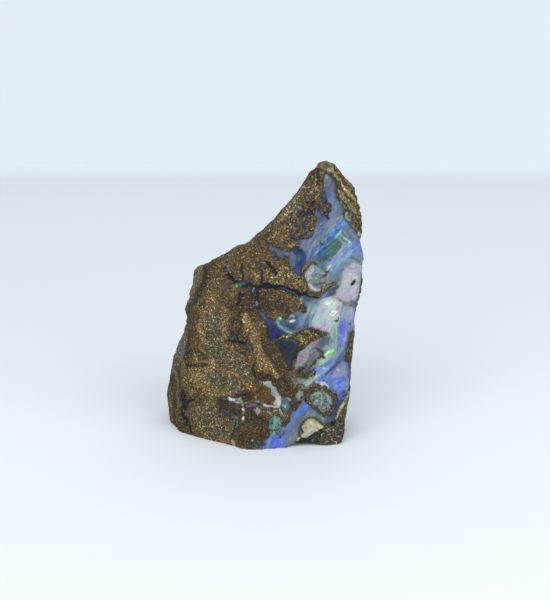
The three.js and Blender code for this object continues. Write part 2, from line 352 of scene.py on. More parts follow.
patch("sand", "806d4c", "-4.4 29.1, -4.9 28.4, -5 27, -4.7 25.8, -4.2 24.6, -3.4 23.2, -2.4 22, "
      "-2.4 20.5, -2.2 19, -1.9 17.6, -1.4 16.7, -0.3 16.4, 0.8 16.4, 1.5 15.7, 2.2 15.1, 2.75 15.2, "
      "2.6 15.9, 2 16.7, 1.5 17.5, 1.1 18.4, 0.6 19.2, -0.1 19.8, -0.5 20.8, -0.9 22.2, -1 23.6, "
      "-1.3 24.6, -2 25.3, -2.7 25.8, -3.1 26.8, -3.4 27.8, -3.8 28.6", soft=0.4)
streaks("sand",
    ("8d815c", "-4.4 28.6, -4.5 27.2, -3.9 26", 0.8, 0.5),
    ("b09a60", "1.4 16.6, 2.1 15.9, 2.5 15.4", 0.5, 0.3),
    ("75684a", "-2 26.8, -1 26.6, -0.4 25.8", 1.2, 0.9, 0.5),
    ("a68f5c", "-2.4 37.4, -2.3 36.5, -1.95 35.6", 0.45, 0.25),
)

# The coarse golden sand over the main vein, and the speckled rock up to the peak.
patch("sand", "5d5038", "-0.9 38.4, 1 38.3, 3 37.6, 3.8 39.6, 4.8 39.6, 5.4 38, 6.2 37, 7 36.9, "
      "7.4 38.2, 8.8 38.8, 9.8 39.3, 10.7 39, 10 38.4, 9 38, 8.6 37, 8.3 35.6, 8.6 34.6, 9.4 33.8, "
      "10.4 33.2, 11.2 33, 12 33.6, 12.6 34.2, 13.2 34.9, 13.6 35.2, 14.4 35.2, 14.5 34.7, 13.8 34.5, "
      "13 33.7, 12 32.8, 11.5 32.2, 10.6 31.7, 9.4 32.2, 8 32.5, 6.4 32.9, 4.6 33.7, 2.8 34.4, 0.8 34.8, "
      "-0.8 35, -0.9 36.6", soft=0.4)
specks("sand", "9c8857 8a7a52 a8976c b0a88e 77633c 332b22 2c2722 c4b48c",
       "-0.8 38, 4.4 39, 6.6 36.6, 8.4 36.6, 8.6 34.6, 10.4 32.9, 9.4 32.3, 4.6 33.9, -0.6 35.2",
       240, small=0.2, large=0.5)
specks("sand", "a58f58 917b4c b3a47c 6b5636",
       "10.6 33, 12.4 34.3, 13.4 35.1, 14.2 34.9, 12.4 33.2, 11 32.2", 26, small=0.2, large=0.45)
streak("sand", "9c8a5a", "11.4 33.3, 12.4 34.2, 13.2 35, 13.6 35", wide=0.4, soft=0.3)
streak("rock", "7c6238", "7.2 37.5, 8 38.1, 9 38.9, 10.2 39.1", wide=0.6, soft=0.3)
specks("rock", "8a7448 6c5a3e 9a8a66 37302a 2e2822 57606c",
       "-0.6 46, 3 44.6, 5 46, 8 44.6, 9.8 45.2, 10.2 48.6, 10.2 51.4, 11.6 54.6, 12 58.4, 10.8 58.8, "
       "8.8 56, 7.6 53.4, 3.6 49", 300, small=0.25, large=0.6, cover=0.7)
patches("rock",
    ("433528", "8 55.6, 9.4 58.4, 10.4 59, 10.4 57.4, 9.8 56.4", 0.6),
    ("3a3028", "7.6 51.6, 10.4 52.6, 10.3 50, 9 48.8, 6.6 49, 6.4 50", 0.8, 0.8),
    ("5c5142", "8.6 57, 9.8 57.4, 10 54.8, 10.2 52.8, 8.6 52.6, 8 54.6", 1, 0.7),
)
specks("potch", "7c7c80 8d8c88 6a6a70", "8.4 54, 10 57, 10 53, 8.8 52.6",
       16, small=0.2, large=0.4, cover=0.7)
specks("potch", "3f4a6c 4c5a80 56627e 66708a 7f8488",
       "5 48, 7.6 50, 10 50, 9.6 46.6, 9.4 45, 7.6 45.6, 6 45.4", 70, small=0.3, large=0.7, cover=0.75)
specks("opal", "3c4a78 4a5a8c 2e3a5c",
       "8.4 52.6, 10.8 54.6, 11 50.4, 10.2 47.4, 8.8 48", 22, small=0.3, large=0.8, cover=0.8)
for place, shade, size in (
    ("10.4 56.3", "b3924f", 0.55), ("11.4 55.6", "8a5f35", 0.55), ("11 52.5", "c29a54", 0.5),
    ("9 51.6", "a5793f", 0.5), ("10.9 54.7", "bdb6a2", 0.4), ("7.4 44.6", "9c7a2e", 0.5),
    ("9.8 46.6", "a08550", 0.5), ("9.9 49", "a08a52", 0.4), ("11.9 59.6", "9c9056", 0.5),
    ("6.3 37.1", "8c7240", 0.6), ("9.6 57.3", "a09a8c", 0.35), ("2.9 36.9", "8e7a4e", 0.7),
    ("9.2 33.3", "b49c68", 0.6), ("8.1 35", "b8a070", 0.4), ("-13.4 30.2", "b8b098", 0.3),
    ("-7.5 28.2", "c0bcae", 0.3), ("-11.5 35.2", "a89868", 0.3), ("-0.6 11.9", "d0ccc0", 0.3),
):
    x, y = place.split()
    streak("sand", shade, f"{place}, {float(x) + 0.05} {y}", wide=size, soft=0.2)
streak("rock", "33281e", "7.2 45, 8 44.5, 8.4 44.4", wide=0.4, soft=0.3)
patch("potch", "848e86", "6.7 51.8, 7.2 51.4, 7.7 50.9, 7.4 50.2, 6.9 50.3, 6.5 51", soft=0.4)
streak("potch", "8799a4", "6.1 50.2, 6.3 49.6", wide=0.5, soft=0.4)
streak("potch", "8c9296", "7.8 48.6, 8 48.2", wide=0.5, soft=0.4)
specks("potch", "a8a8a0 8f938e 7b7f80", "8.4 44.6, 9.8 45, 9.6 45.8, 8.8 45.6", 8, small=0.25, large=0.4)
streak("vein", "363b52", "10.9 58.9, 11 57.6, 10.9 56", wide=0.5, soft=0.4, cover=0.8)
patch("sand", "6f654c", "-1.4 46, 1.4 48.2, 3 49.8, 4.8 51.8, 6.2 53.4, 7.2 55.2, 7.9 56, 7.7 54.6, "
      "7.3 53, 6.4 51.6, 5.2 50.1, 3.6 48.6, 2.2 47.2, 0.6 45.6, -1 45", soft=0.5)
streak("sand", "9c8d66", "2.9 48.3, 3.9 49.3, 5 50.1", wide=0.35, soft=0.3)
specks("sand", "8f8565 7d7254 9c9272",
       "0.8 46.6, 2 47, 2.6 45.4, 1.6 44.2, 1.4 45.4", 24, small=0.2, large=0.4)

# The banded break at the top right: thin layers of tan sand that run along the edge.
patch("beds", "675f48", "11.2 60, 12.8 60.8, 14.2 60.2, 17 57.4, 20 55, 20.8 50, 20.2 44.4, 19.4 44.7, "
      "18.8 45.4, 18.2 46.5, 17.4 47.4, 16.5 48.6, 16.1 49.5, 16.3 50.6, 15.8 51.5, 15.1 52.3, "
      "14.7 53.7, 14.2 55.3, 13.5 57, 13 58.2, 12.2 58.6, 11.4 59", soft=0.3)
fibres("beds", "8a7f5e 413b2e 807656 4c4534 9a8d66",
       "12.2 60.2, 14.6 58.2, 16.8 55.2, 18.8 52, 19.8 48", 2.2, 90, long=5, wide=0.3, cover=0.75)
fibres("beds", "8a7f5e 3f3a2e 776c4e",
       "13.4 58.4, 14.8 55.6, 15.8 53.2, 17.2 50.6, 18.6 47.4", 1.3, 50, long=3.5, wide=0.26, cover=0.75)
specks("sand", "a39a78 3a3429 8f8462",
       "13.2 58.6, 16.6 56.4, 19.4 53.8, 19.8 47, 18.6 46.4, 16.6 49.6, 15 53.4",
       90, small=0.15, large=0.32, cover=0.6)
streaks("beds",
    ("b7a470", "14.3 57.6, 15.4 56.5, 16.6 55.1, 17.6 53.8, 18.7 52.4", 0.6, 0.25),
    ("c4b482", "14.6 57.3, 15.6 56.2, 16.4 55.3", 0.25, 0.2),
    ("948a66", "12.8 58.9, 13.8 58.8, 14.8 58.3", 0.9, 0.5),
)
streak("rock", "3a3429", "13.5 58, 14.8 55.8, 15.4 54.2, 15.2 52.8, 16.4 51.8, 17 50.9",
       wide=0.5, soft=0.35)
streak("rock", "453e30", "15 58, 16.4 56.6, 17.8 54.8, 18.8 53.4", wide=0.3, soft=0.25)
streak("beds", "8c8262", "15 54.6, 16.4 53, 17.4 52", wide=0.8, soft=0.5)
streak("beds", "8f8668", "17.8 50.7, 18.4 50, 18.9 49.4", wide=0.35, soft=0.3)
patch("rock", "443d32", "18.2 49.4, 19 48.9, 20.6 49, 20.4 44.6, 19.4 45.6, 18.7 46.8", soft=0.8)
patch("potch", "888a7c", "16.4 49, 16.5 50.1, 17.2 50.3, 17.9 49.5, 18.1 48, 17.5 47.7, 16.9 48.2",
      soft=0.5)
streaks("beds",
    ("8f8a76", "15.6 52.2, 15.8 51.7", 0.6, 0.4),
    ("a0905c", "17.8 46.6, 18.6 46.2", 0.35, 0.3),
    ("a9a28c", "19.3 45.8, 19.6 45.2", 0.5, 0.4),
)

# The veins: dark glassy potch in the cracks, with a few lit spots of opal.
streak("rock", "33291f", "-8.4 36.8, -7 36.1, -6.2 35.1, -5 34.7, -3.4 34.7, -1.6 34.2, 0 34.6, 2 34.4, "
       "4.8 33.6, 7.4 32.6, 10.6 31.7", wide=1.2, soft=0.8, ragged=2, taper=0.3)
streak("vein", "23282b", "-8.3 36.7, -7 36.1, -6.4 35.3, -5 34.8, -3.6 34.7, -2.4 34.2",
       wide=0.7, soft=0.3, ragged=2)
streak("vein", "2b2f33", "-2.4 34.2, -1.8 33.3, -1.9 32, -2.1 30.8, -1.7 29.9, -1.2 29, -0.4 28.2",
       wide=0.5, soft=0.3, taper=0.2)
streak("vein", "191d24", "-1.6 34.1, -0.6 34.3, 0.4 34.5, 2 34.2, 3.4 33.9, 4.8 33.4, 6.2 32.8, "
       "7.4 32.4, 9 32.2, 10.7 31.6", wide=0.9, soft=0.3, taper=0.3, ragged=1.8)
streaks("vein",
    ("434e60", "2.8 34, 4 33.6, 5.4 33, 6.8 32.2", 0.3, 0.2),
    ("3a5250", "-6.6 34.5, -5.6 34.8, -5 35.4", 0.7, 0.4, 1.0, 2),
    ("3f5556", "-5.4 34.8, -4.4 35.2, -3.4 35.6", 0.35, 0.3),
)
streak("opal", "3f6068", "-5.8 34.4, -5.3 34.5", wide=0.5, soft=0.3)
streak("glint", "57ac58", "-6.35 34.8, -6.3 34.2", wide=0.5, soft=0.25)
streak("opal", "4c70a0", "-3.1 33.4, -2.9 33.2", wide=0.5, soft=0.3)
streak("glint", "5b74d4", "-2.6 34, -2.4 33.7", wide=0.4, soft=0.2)
streak("glint", "62b4b0", "-2.9 33.7, -2.75 33.4", wide=0.35, soft=0.2)
streaks("vein",
    ("2f3a52", "-5 39.2, -5.1 37.6, -5 36.4, -4.9 35.3", 0.4, 0.3),
    ("5c7076", "-1.3 40, -1.2 38.6, -1.15 37.6", 0.35, 0.3),
    ("36426a", "-1.1 37.6, -1 36.8, -0.9 36, -1 35.2, -1 34.6", 0.45, 0.3),
    ("2c3044", "-5.1 33.2, -5.6 32, -6.1 31, -6.2 30.3", 0.6, 0.4, 0.8, 2),
    ("2c3044", "-4.6 32.8, -5.4 32.2", 0.45, 0.35, 0.8, 2),
    ("3a4454", "-2.9 33, -2.9 31.6", 0.35, 0.3),
)
streak("potch", "6f8088", "-2.1 31.3, -2 30.3", wide=0.35, soft=0.25)
streak("vein", "3f4452", "1 38.1, 1.7 37.4", wide=0.5, soft=0.3)
streak("vein", "3a3a36", "0.1 39.6, 1 38.6, 1.7 37.7, 2.3 36.8", wide=0.5, soft=0.4, cover=0.7)
patch("rock", "393a42", "-9.3 38.3, -8.7 38.4, -8.5 37.4, -9.1 37.3", soft=0.5)
patch("rock", "373e4c", "-7.7 38.1, -7.2 38, -7.3 37.5, -7.7 37.5", soft=0.4)
streak("rock", "33302c", "-18.2 12.7, -17.6 11.4, -17 10.3, -17.3 9, -17.4 7.8, -17.1 6.4, -16.5 5.2, "
       "-15.8 4.4", wide=1.5, soft=0.9, ragged=2.5)
streak("vein", "2f3a48", "-18.2 12.7, -17.6 11.4, -17 10.3, -17.3 9, -17.4 7.8, -17.1 6.4, -16.5 5.2, "
       "-15.8 4.4, -15.6 3.4", wide=0.55, soft=0.35, taper=0.3, ragged=3, cover=0.8)
streaks("vein",
    ("333c48", "-17 10.2, -16.2 10.2, -15.2 10.7", 0.5, 0.4, 0.7, 2.5),
    ("59636c", "-17.5 8.8, -17.4 8", 0.5, 0.3),
    ("545e68", "-16.8 5.8, -16.3 5", 0.4, 0.3),
)
streak("vein", "47505a", "-9.6 8.4, -8.4 7.4, -7.2 6.7, -6.3 6.2, -6.2 5.2, -6.6 4.2, -7 3.2, -7.2 2.2",
       wide=0.5, soft=0.3, taper=0.3)
streak("potch", "717e80", "-6.4 6.2, -6.1 5.8, -6.2 5", wide=0.45, soft=0.3)
patch("cream", "a8a284", "-7.3 2.4, -6.9 1.9, -6.2 0.9, -6.8 0.7, -7.2 1.4", soft=0.25)
streak("potch", "87888a", "-3 2.4, -2.8 1.9", wide=0.45, soft=0.3)
streaks("vein",
    ("464c78", "-2.8 1.6, -2.9 0.2", 0.5, 0.3),
    ("787a80", "-1.9 2.2, -1.3 1.3", 0.35, 0.3),
    ("32302c", "-2.7 18, -2.6 16.4, -2.2 15.2, -1.6 14.5, -1 14", 0.45, 0.25),
    ("5a6470", "-1.9 15, -1.3 14.3", 0.3, 0.2),
)

# The grey-blue patches that run up into the rock on the left of the opal.
patch("opal", "56626c", "0.2 43.4, 1.2 42.6, 2.2 42.7, 3 42.2, 3.9 41.4, 4.9 41.9, 5.3 40.8, 4.7 40.3, "
      "4 40.7, 3.9 39.9, 2.9 40.3, 2.3 40.2, 1.9 41, 1.2 41.7, 0.6 42.4", soft=0.5, cover=0.9)
streaks("opal",
    ("6c7c88", "3.9 41.3, 4.6 41.4, 5 41", 0.5, 0.4),
    ("434a6e", "1.2 41.6, 1.7 41.2", 0.5, 0.3),
    ("596a74", "2.4 41.2, 3 40.6", 0.8, 0.5),
)

# The cores of the sand lenses are greyer than their rims, and rusty lines part one lens from the next.
for core in (
    "-12.1 28.9, -11.3 29.6, -9.8 29.2, -9.1 27.9, -9.5 25.6, -9.3 23.3, -8.6 21.6, -11.6 21, "
    "-12.4 23, -12.5 25.6",
    "-11.6 19, -10.9 20.3, -9 20.8, -6.6 20.6, -4.7 19.3, -3.7 17.7, -2.7 15.7, -2.4 14.2, -3.3 13.5, "
    "-5.3 15, -8 16.3, -10.3 17, -11.6 17.5",
    "-12.6 16, -10.3 16.3, -8 15.7, -6.6 14.7, -4.3 13.3, -4.7 12.5, -7 12.4, -9.3 12.7, "
    "-11.3 13.7, -12.6 14.7",
    "-14 9.6, -10.5 10, -9.8 7.4, -7.8 6.1, -8.2 2.6, -11.3 2.4, -13.4 4.1, -14 7.1",
):
    patch("sand", "635b4a", core, soft=0.9, ragged=2, cover=0.9)
    specks("sand", "aaa590 2c281e bcb8a4 3a3628 8c8672 242018", core, 260, small=0.15, large=0.32, cover=0.65)
streak("sand", "8a7150", "-14.6 18.2, -12.4 18.6, -10.2 17.2, -7.8 16.4, -6 15.3, -3.6 13.6, -2.2 12.6",
       wide=0.6, soft=0.4, ragged=2, cover=0.8)
streak("rock", "694728", "-9.6 17.6, -7.6 16.5, -6.2 15.6, -4.6 14.4, -2.6 13.2",
       wide=0.4, soft=0.4, ragged=3, cover=0.65)
streaks("sand",
    ("927853", "-16.2 17.4, -16 15.6, -14.8 13.6, -12.6 12.2, -9.8 11.6, -7.2 11.8", 0.8, 0.6, 0.7, 2),
    ("8c7452", "-13.6 30, -14 27, -14 24.4, -13.6 22, -12.6 20", 0.9, 0.6, 0.7, 2),
    ("8c7452", "-8.4 29.4, -8.2 27.6, -8.8 25.4, -8.6 23, -7.4 22", 0.8, 0.6, 0.7, 2),
)
streak("rock", "33261a", "-9.2 22.6, -7.6 22.2, -6 21.2, -4.6 19.8, -3.4 17.6, -2.6 15.2, -1.8 13.8",
       wide=0.4, soft=0.4, ragged=2.5, cover=0.75)
streak("rock", "37291a", "-17.2 17.8, -14.6 18, -12.3 18", wide=0.4, soft=0.3, ragged=2.5, cover=0.7)
streak("sand", "6c6042", "-17.4 18.3, -16.9 14.3, -15.2 11.6, -12.8 10.8",
       wide=0.8, soft=0.5, ragged=2, cover=0.8)

# The lower left side is browner, drawn out in faint upright lines.
patch("rock", "4a3e2b", "-21.8 15.8, -19.7 15, -18.8 15.8, -18 13, -17.8 8, -16 3, -21 3, -22.4 9",
      soft=1.5, cover=0.9)
for line, shade in (
    ("-20.4 14.6, -20.1 10, -19.6 6", "6d614a"), ("-19.7 15.6, -19.2 11, -18.8 6.4", "2e2619"),
    ("-19.2 17, -18.7 13, -18.4 9", "75694f"), ("-20 18.4, -19.4 15, -19.5 12", "4a432f"),
    ("-18.6 19.6, -18.2 15.6, -17.9 11.6", "3a3122"), ("-18.6 9, -18.3 6.6, -17.4 4", "5e5239"),
):
    streak("rock", shade, line, wide=0.45, soft=0.5, ragged=3, cover=0.7)
specks("rock", "b07c30 94662a 7a5426",
       "8.6 57, 11.4 56.6, 11.6 53, 9.4 50, 6.4 51, 5 48, 7 47", 26, small=0.25, large=0.5, cover=0.75)
specks("rock", "5c6478 4a5068 6e7684 23201c",
       "8.6 57, 11.6 56, 11.4 53, 9.6 49.6, 7 46, 4 46.6, 6 51", 60, small=0.25, large=0.55, cover=0.6)
specks("sand", "aca48f bcb7a8 2c2820 84847c 96805a",
       "-0.6 36.4, 1.6 38.4, 4 38.6, 6.6 36.8, 8 34.4, 6 33.6, 3 34.8, 0 35.4",
       170, small=0.15, large=0.35, cover=0.65)

# The opal seam, from its tip under the peak down to the foot: the whole field first.
patch("opal", "607390", "12.9 58.2, 13.5 57.2, 14.2 55.2, 14.7 53.6, 15.1 52.3, 16.1 51.3, 16.3 50.3, "
      "16 49.4, 16.6 48.4, 17.4 47.4, 18.4 46.3, 19.1 45.2, 19.7 44.5, 21 44, 21.6 41, 21 36, 20 32, "
      "19.4 30, 19.2 25.4, 18.3 25.2, 17.5 24.6, 17.2 23, 17.1 21.8, 16.7 20.4, 16.4 19.2, 17 18.7, "
      "17.5 17.6, 17.7 16, 17.8 14.4, 17.5 12.6, 17.1 11.6, 16.3 10.2, 15.3 8.4, 14.4 6.9, 13.3 5.7, "
      "12.4 5.4, 11.9 5.8, 11.2 6.4, 10.4 7, 9.2 7, 8 6.4, 7.3 5.6, 7.1 4.6, 6.9 3.6, 6.8 2.8, 6.3 1.9, "
      "6.2 1, 6 -1, -1.5 -1, -1.5 0.9, -0.6 1.6, 0.2 2.3, 0.7 3.2, 1.1 4.1, 2 3.8, 2.7 4.3, 3.2 5.2, "
      "3.6 4.9, 4.3 5.2, 5 6.2, 5.2 7.2, 5.1 8.4, 5.8 8.1, 6.6 8.7, 7.3 9.7, 7.7 10.5, 8.2 12.4, 9 12.6, "
      "9.6 14.4, 9.2 15.2, 9.9 16.4, 8.2 17.6, 6.6 17, 5.9 17, 6.2 18, 6.4 19.2, 6.8 20.3, 7.4 21, "
      "8.4 21.7, 9 22.4, 9.8 22.9, 10.8 23.2, 11.6 23.6, 12.5 24.2, 11.6 24.9, 10.6 25.5, 9.6 25.8, "
      "8.4 25.5, 7.7 25.3, 7 25, 6.2 24.7, 7.8 28.6, 8.4 29, 8.4 29.8, 8 30.6, 7.2 31.4, 6.9 32.1, "
      "8 32.2, 9.6 31.9, 10.7 31.5, 11.5 32.2, 12.2 32.9, 13.1 33.8, 13.9 34.5, 14.6 34.9, 14.2 35.3, "
      "13.4 35.5, 12.4 34.6, 11.4 33.6, 10.6 33.3, 9.6 33.6, 8.6 34.8, 8.4 36, 8.8 37.4, 9.4 38.2, "
      "10.3 38.6, 10.8 39.1, 10.2 39.5, 9.4 39.7, 8.6 39.2, 8.2 38.7, 7.4 38.1, 7.2 37, 6.8 36.6, "
      "6.2 37.2, 5.6 37.7, 5.3 38.6, 4.9 39.6, 5 40.4, 5.3 41.2, 5.8 42.2, 6.4 42.4, 7 42.5, 7.1 43.4, "
      "6.6 44, 5.8 44.5, 5.1 45.1, 5.9 45.2, 6.8 44.7, 7.2 44.2, 8.3 44.4, 9 44.2, 9.7 44.8, 10 45.6, "
      "10.2 46.8, 10.5 47.8, 10.9 48.6, 10.2 49.3, 10.4 50.2, 10.8 50.9, 11.4 49.8, 12.6 49.2, "
      "13.2 49.8, 13.5 50.8, 13.2 51.6, 12.8 52.2, 12.9 53.3, 12.3 54.2, 11.7 54.4, 12.3 55.2, "
      "12.1 56.4, 12.2 57.2, 12.6 58.1", soft=0.2, ragged=0.8)

# The tongue under the peak.
patch("opal", "69737c", "12.2 58.2, 13.6 57.4, 14.6 54.6, 12.8 54.2, 12 55.4", soft=1)
streaks("opal",
    ("8699a0", "12.7 57.6, 12.95 57.2", 0.6, 0.5),
    ("80848c", "12.3 55.7, 12.6 55.2", 0.6, 0.5),
    ("585f66", "13.9 57, 14.4 55.4, 14.7 54", 0.7, 0.7, 0.7),
    ("7d83b8", "13.55 54.2, 13.6 53.2, 13.4 51.9", 1.0, 0.7),
    ("5e70a8", "12.4 54.1, 12.9 53.6", 0.6, 0.4),
    ("41466a", "12 54, 12.4 53, 12.1 52", 0.9, 0.4),
)
patch("opal", "6b7a9c", "13.2 51.8, 14.8 52.4, 15 50, 14.6 47.6, 13.2 47.2, 13.2 49.2, 13.6 50.6", soft=1)
streak("opal", "6c8488", "15.5 51.2, 15.6 50, 15.2 48.6", wide=1.3, soft=1)
streak("opal", "5c7078", "14.6 52.6, 15.4 51.6, 16 50.4", wide=0.5, soft=0.5)
patch("opal", "4b5a80", "10.9 48.9, 12.2 49.1, 13.1 48, 12.7 46.8, 11.8 45.8, 11 45.2, 10.5 46.4", soft=0.9)
streak("opal", "586c8c", "10.7 50, 11 49.3", wide=0.7, soft=0.4)
patch("rock", "52484a", "11.2 51.4, 12.2 51.9, 13.3 51.7, 13.55 50.7, 13.2 49.9, 12.6 49.3, 11.8 49.3, "
      "11.3 50.2", soft=0.3)
specks("rock", "8a7f88 746878 3a302c 6c5c4c",
       "11.4 51.3, 13.2 51.4, 13.2 50, 12.4 49.5, 11.6 49.9", 16, small=0.2, large=0.4)
streak("rock", "3c342e", "13.3 51.6, 13.4 50.6, 13.2 50.1", wide=0.35, soft=0.25)
streak("rock", "3d352e", "12.8 49.4, 13.1 48.5", wide=0.45, soft=0.25)

# The steel-blue field, whose flashes run up to the right.
patch("opal", "62738c", "7.2 44.2, 8.4 44.4, 9.8 44.8, 10.4 46.6, 12.4 45.6, 12.4 43.4, 10.4 41.2, "
      "9 39.6, 8.4 40, 8.2 41.6, 7.2 42.6", soft=0.8)
patch("opal", "7a90a8", "13 48.2, 14.4 48.8, 15.8 48.8, 16.8 47.8, 15 46.6, 13.6 45.4, 12.4 45.4, 12.4 47",
      soft=1.2, cover=0.9)
streaks("opal",
    ("56678c", "10.9 45.4, 11.3 44.4, 11.2 43.6", 1.2, 1),
    ("71769e", "9.2 44, 9.7 43.2", 0.8, 0.6, 0.8),
    ("6a7690", "8.4 43.8, 8 42.8", 0.9, 0.8),
    ("8c9db0", "9.2 41.2, 9.5 42.4, 10.2 43.6, 11.3 44.9", 0.35, 0.3, 0.8),
    ("8fa2b2", "8.9 40.6, 9.2 41.6, 9.6 42.8, 10.4 44.1", 0.25, 0.3, 0.8),
    ("90a4b4", "10.2 42.8, 11.2 43.8, 12.2 45", 0.25, 0.3, 0.7),
    ("4f6690", "9.7 41, 10 42, 10.8 43.1", 0.5, 0.4, 0.8),
)
fibres("opal", "8196b0 52648a 7a90a4 5a7096 94a4b8 6f83b0",
       "8 39.6, 8.7 41.6, 9.8 43.4, 11.6 45.4, 13.4 47.2", 1.7, 110, long=3, wide=0.15, cover=0.55)
fibres("opal", "8c9bb4 5a6a86 7d8fb8 6a86a0 97a6b2",
       "13.2 57.4, 13.6 54, 14 51, 14.6 48.4, 13.6 46.4", 1.0, 60, long=2.5, wide=0.15, cover=0.5)
fibres("opal", "98a8b8 6d84a4 8796b0",
       "11.6 46.4, 13.2 47.8, 15 48.6, 16.4 49", 1.2, 40, long=2.4, wide=0.16, cover=0.5)
patch("opal", "50727a", "12.8 43.5, 14 44.2, 15 44.7, 15.7 43.8, 15.3 42.4, 14.4 41.2, 13.4 39.8, "
      "12.6 38.7, 11.4 38.9, 10.4 39.8, 10.1 40.4, 11 40.3, 12 41.2, 12.6 42.2", soft=0.6)
streaks("opal",
    ("5f9478", "12.9 42.4, 13.6 43", 1.1, 0.8),
    ("65967e", "13.9 43.6, 14.8 44.2", 0.6, 0.6),
    ("3f5a6a", "11 40.1, 12.4 40.6, 13.4 41", 1.2, 0.9),
    ("47687a", "11.8 39.3, 12.8 39.3", 1.1, 0.8),
)
patch("opal", "7b9488", "14.4 41.4, 15.2 42.4, 15.7 43.8, 15.4 44.8, 16.4 43.4, 16 42, 15 40.9", soft=0.7)
fibres("opal", "6c9a88 486c74 5a8a90 84a090 a0aca0",
       "11.4 38.8, 13 40.8, 14.4 42.6, 15.6 44.6", 1.3, 80, long=2, wide=0.14, cover=0.6)
streak("opal", "97a8a0", "15.3 44.6, 15.9 43.4, 15.9 42.2", wide=0.35, soft=0.35)
patch("opal", "5a6c74", "16 44.9, 17 43.7, 16.9 43.3, 16 43.5, 15.7 44.4", soft=0.4)
patch("opal", "687a8c", "16.4 47.8, 17.4 47.3, 18.4 46.3, 19.2 45, 18.2 44.4, 17.4 44.4, 16.4 45.4, "
      "15.8 46.2", soft=0.7)
streaks("opal",
    ("8498a8", "17 46.6, 17.8 45.8, 18.4 45", 0.5, 0.5, 0.7),
    ("7a96a0", "16.2 46, 16.8 45.2", 0.5, 0.4, 0.7),
    ("6f9cf0", "13.8 45, 14.5 45.7, 15 46.2", 0.8, 0.4),
    ("6f9ce4", "15 46.4, 15.8 47, 16.7 47.6", 0.8, 0.4),
)
streak("glint", "98c4fa", "15.1 46.7, 15.7 47.1, 16.4 47.3", wide=0.35, soft=0.25)
streaks("opal",
    ("8fc4cc", "14.5 44.4, 15 45.2, 15.5 46", 0.55, 0.4),
    ("5c70b4", "12.5 43.4, 13 44.2, 13.7 44.8", 0.7, 0.5),
    ("4674c4", "10.6 40.8, 11.4 41.7, 12.1 42.6", 0.55, 0.35),
    ("6a6cc8", "11.1 41.4, 11.35 41.3", 0.45, 0.3),
)
streak("glint", "70c4ec", "10.25 41, 11 41.8, 11.6 42.4, 12.1 42.8", wide=0.25, soft=0.2)
streak("opal", "4c68a0", "10.8 40.5, 11.6 41.1", wide=0.35, soft=0.3)
streak("rock", "4a3c30", "11.2 43.7, 11.6 43.3, 12 43.1", wide=0.35, soft=0.25)
streak("opal", "8cc8a4", "15.5 45.4, 16.2 44.8, 16.9 44.1", wide=0.35, soft=0.3)
streak("opal", "586e76", "15.9 44.9, 16.4 44.2, 16.9 43.6", wide=0.25, soft=0.25)
streak("glint", "a4e488", "17.2 44, 17.55 43.75", wide=0.5, soft=0.3)

# The dark navy pool at its left end, and the steel rim round it.
streak("opal", "566478", "5.4 41.6, 5.2 40, 5.5 38.6, 6 37.6", wide=1.0, soft=0.5)
patch("opal", "324168", "5.7 42.2, 6.8 42.5, 7.8 42.1, 8.3 40.8, 8.4 39.6, 8.1 38.8, 7.4 38, 7.2 37, "
      "6.8 36.7, 6.2 37.3, 5.9 38, 6.1 39.4, 6.2 40.8, 5.6 41.5", soft=0.4)
streaks("opal",
    ("26304e", "6.3 42, 7 41.8, 7.4 41.2", 1.2, 0.8),
    ("3e5076", "6.3 39, 6.5 38, 6.8 37.2", 0.9, 0.6),
    ("38467a", "7.8 41.2, 7.9 39.6", 0.8, 0.6),
    ("3a4262", "5.2 45.1, 6 44.7, 7 44.1", 0.8, 0.4),
)
fibres("opal", "4c6090 5a6ca0 2a3458", "6.4 37.4, 6.8 39.4, 7 41.8",
       1.2, 26, long=1.6, wide=0.14, cover=0.4)

# The streaks to the right of it, down to the pale rosy patch on the outer edge.
patch("opal", "6d86c0", "16.6 42.8, 17.4 43.6, 18.8 44, 20.2 43.4, 21.2 41.6, 19.8 40.8, 18.2 41, 17 40.6",
      soft=0.9)
patch("opal", "647f84", "17.4 40.2, 18.4 41, 20 41, 21.4 40.4, 21 38, 19.4 38.6, 18 38.8, 17.2 39.2",
      soft=0.9)
streaks("opal",
    ("7894c8", "12.9 38.1, 14 39.6, 15.2 41, 16.4 42.4, 17.4 43.4", 1.5, 0.9),
    ("86a8d8", "14.6 38, 15.6 39.2, 16.8 40.6, 18 41.8", 1.1, 0.8),
    ("7294c4", "13.6 38, 14.2 37.4, 14.8 36.8", 1.2, 0.8),
    ("76889c", "14.6 38.2, 15.5 39.1, 16 39.8", 0.45, 0.4),
    ("7d93a4", "15.4 37.8, 16.4 39.4, 17.4 40.6", 0.4, 0.4),
    ("b8c6d2", "14.6 40.5, 15.5 41.3, 16.1 42.2", 0.3, 0.3),
    ("6c76d8", "18 41.8, 18.7 42.1", 0.9, 0.7),
    ("7f9cdc", "16.4 40.8, 17.4 41.4", 0.6, 0.5),
    ("a4b4d8", "14 38.8, 15 39.9", 0.4, 0.4),
)
fibres("opal", "a8bee0 7896c8 6484b8 c4d0dc 88a4c4 98b0e0",
       "12.8 37.8, 14.6 39.8, 16.2 41.6, 18 43.4", 1.8, 120, long=2.2, wide=0.14, cover=0.6)
streak("opal", "d4cbac", "13 38.2, 13.5 38.75", wide=0.35, soft=0.25)
patch("opal", "64828c", "14 36.6, 15.2 37.4, 16.2 37.4, 16.2 35.6, 15.6 34.4, 14.8 34.8, 14.6 35.4",
      soft=0.7)
patch("opal", "a9aab2", "16.5 38.3, 17.5 39, 18.8 39.2, 19.8 38.2, 19.8 36.8, 19.1 35.6, 18.8 34, "
      "18 32.2, 16.8 31.5, 15.6 31.9, 15.3 33.2, 15.9 34.9, 16.2 36.6", soft=0.7)
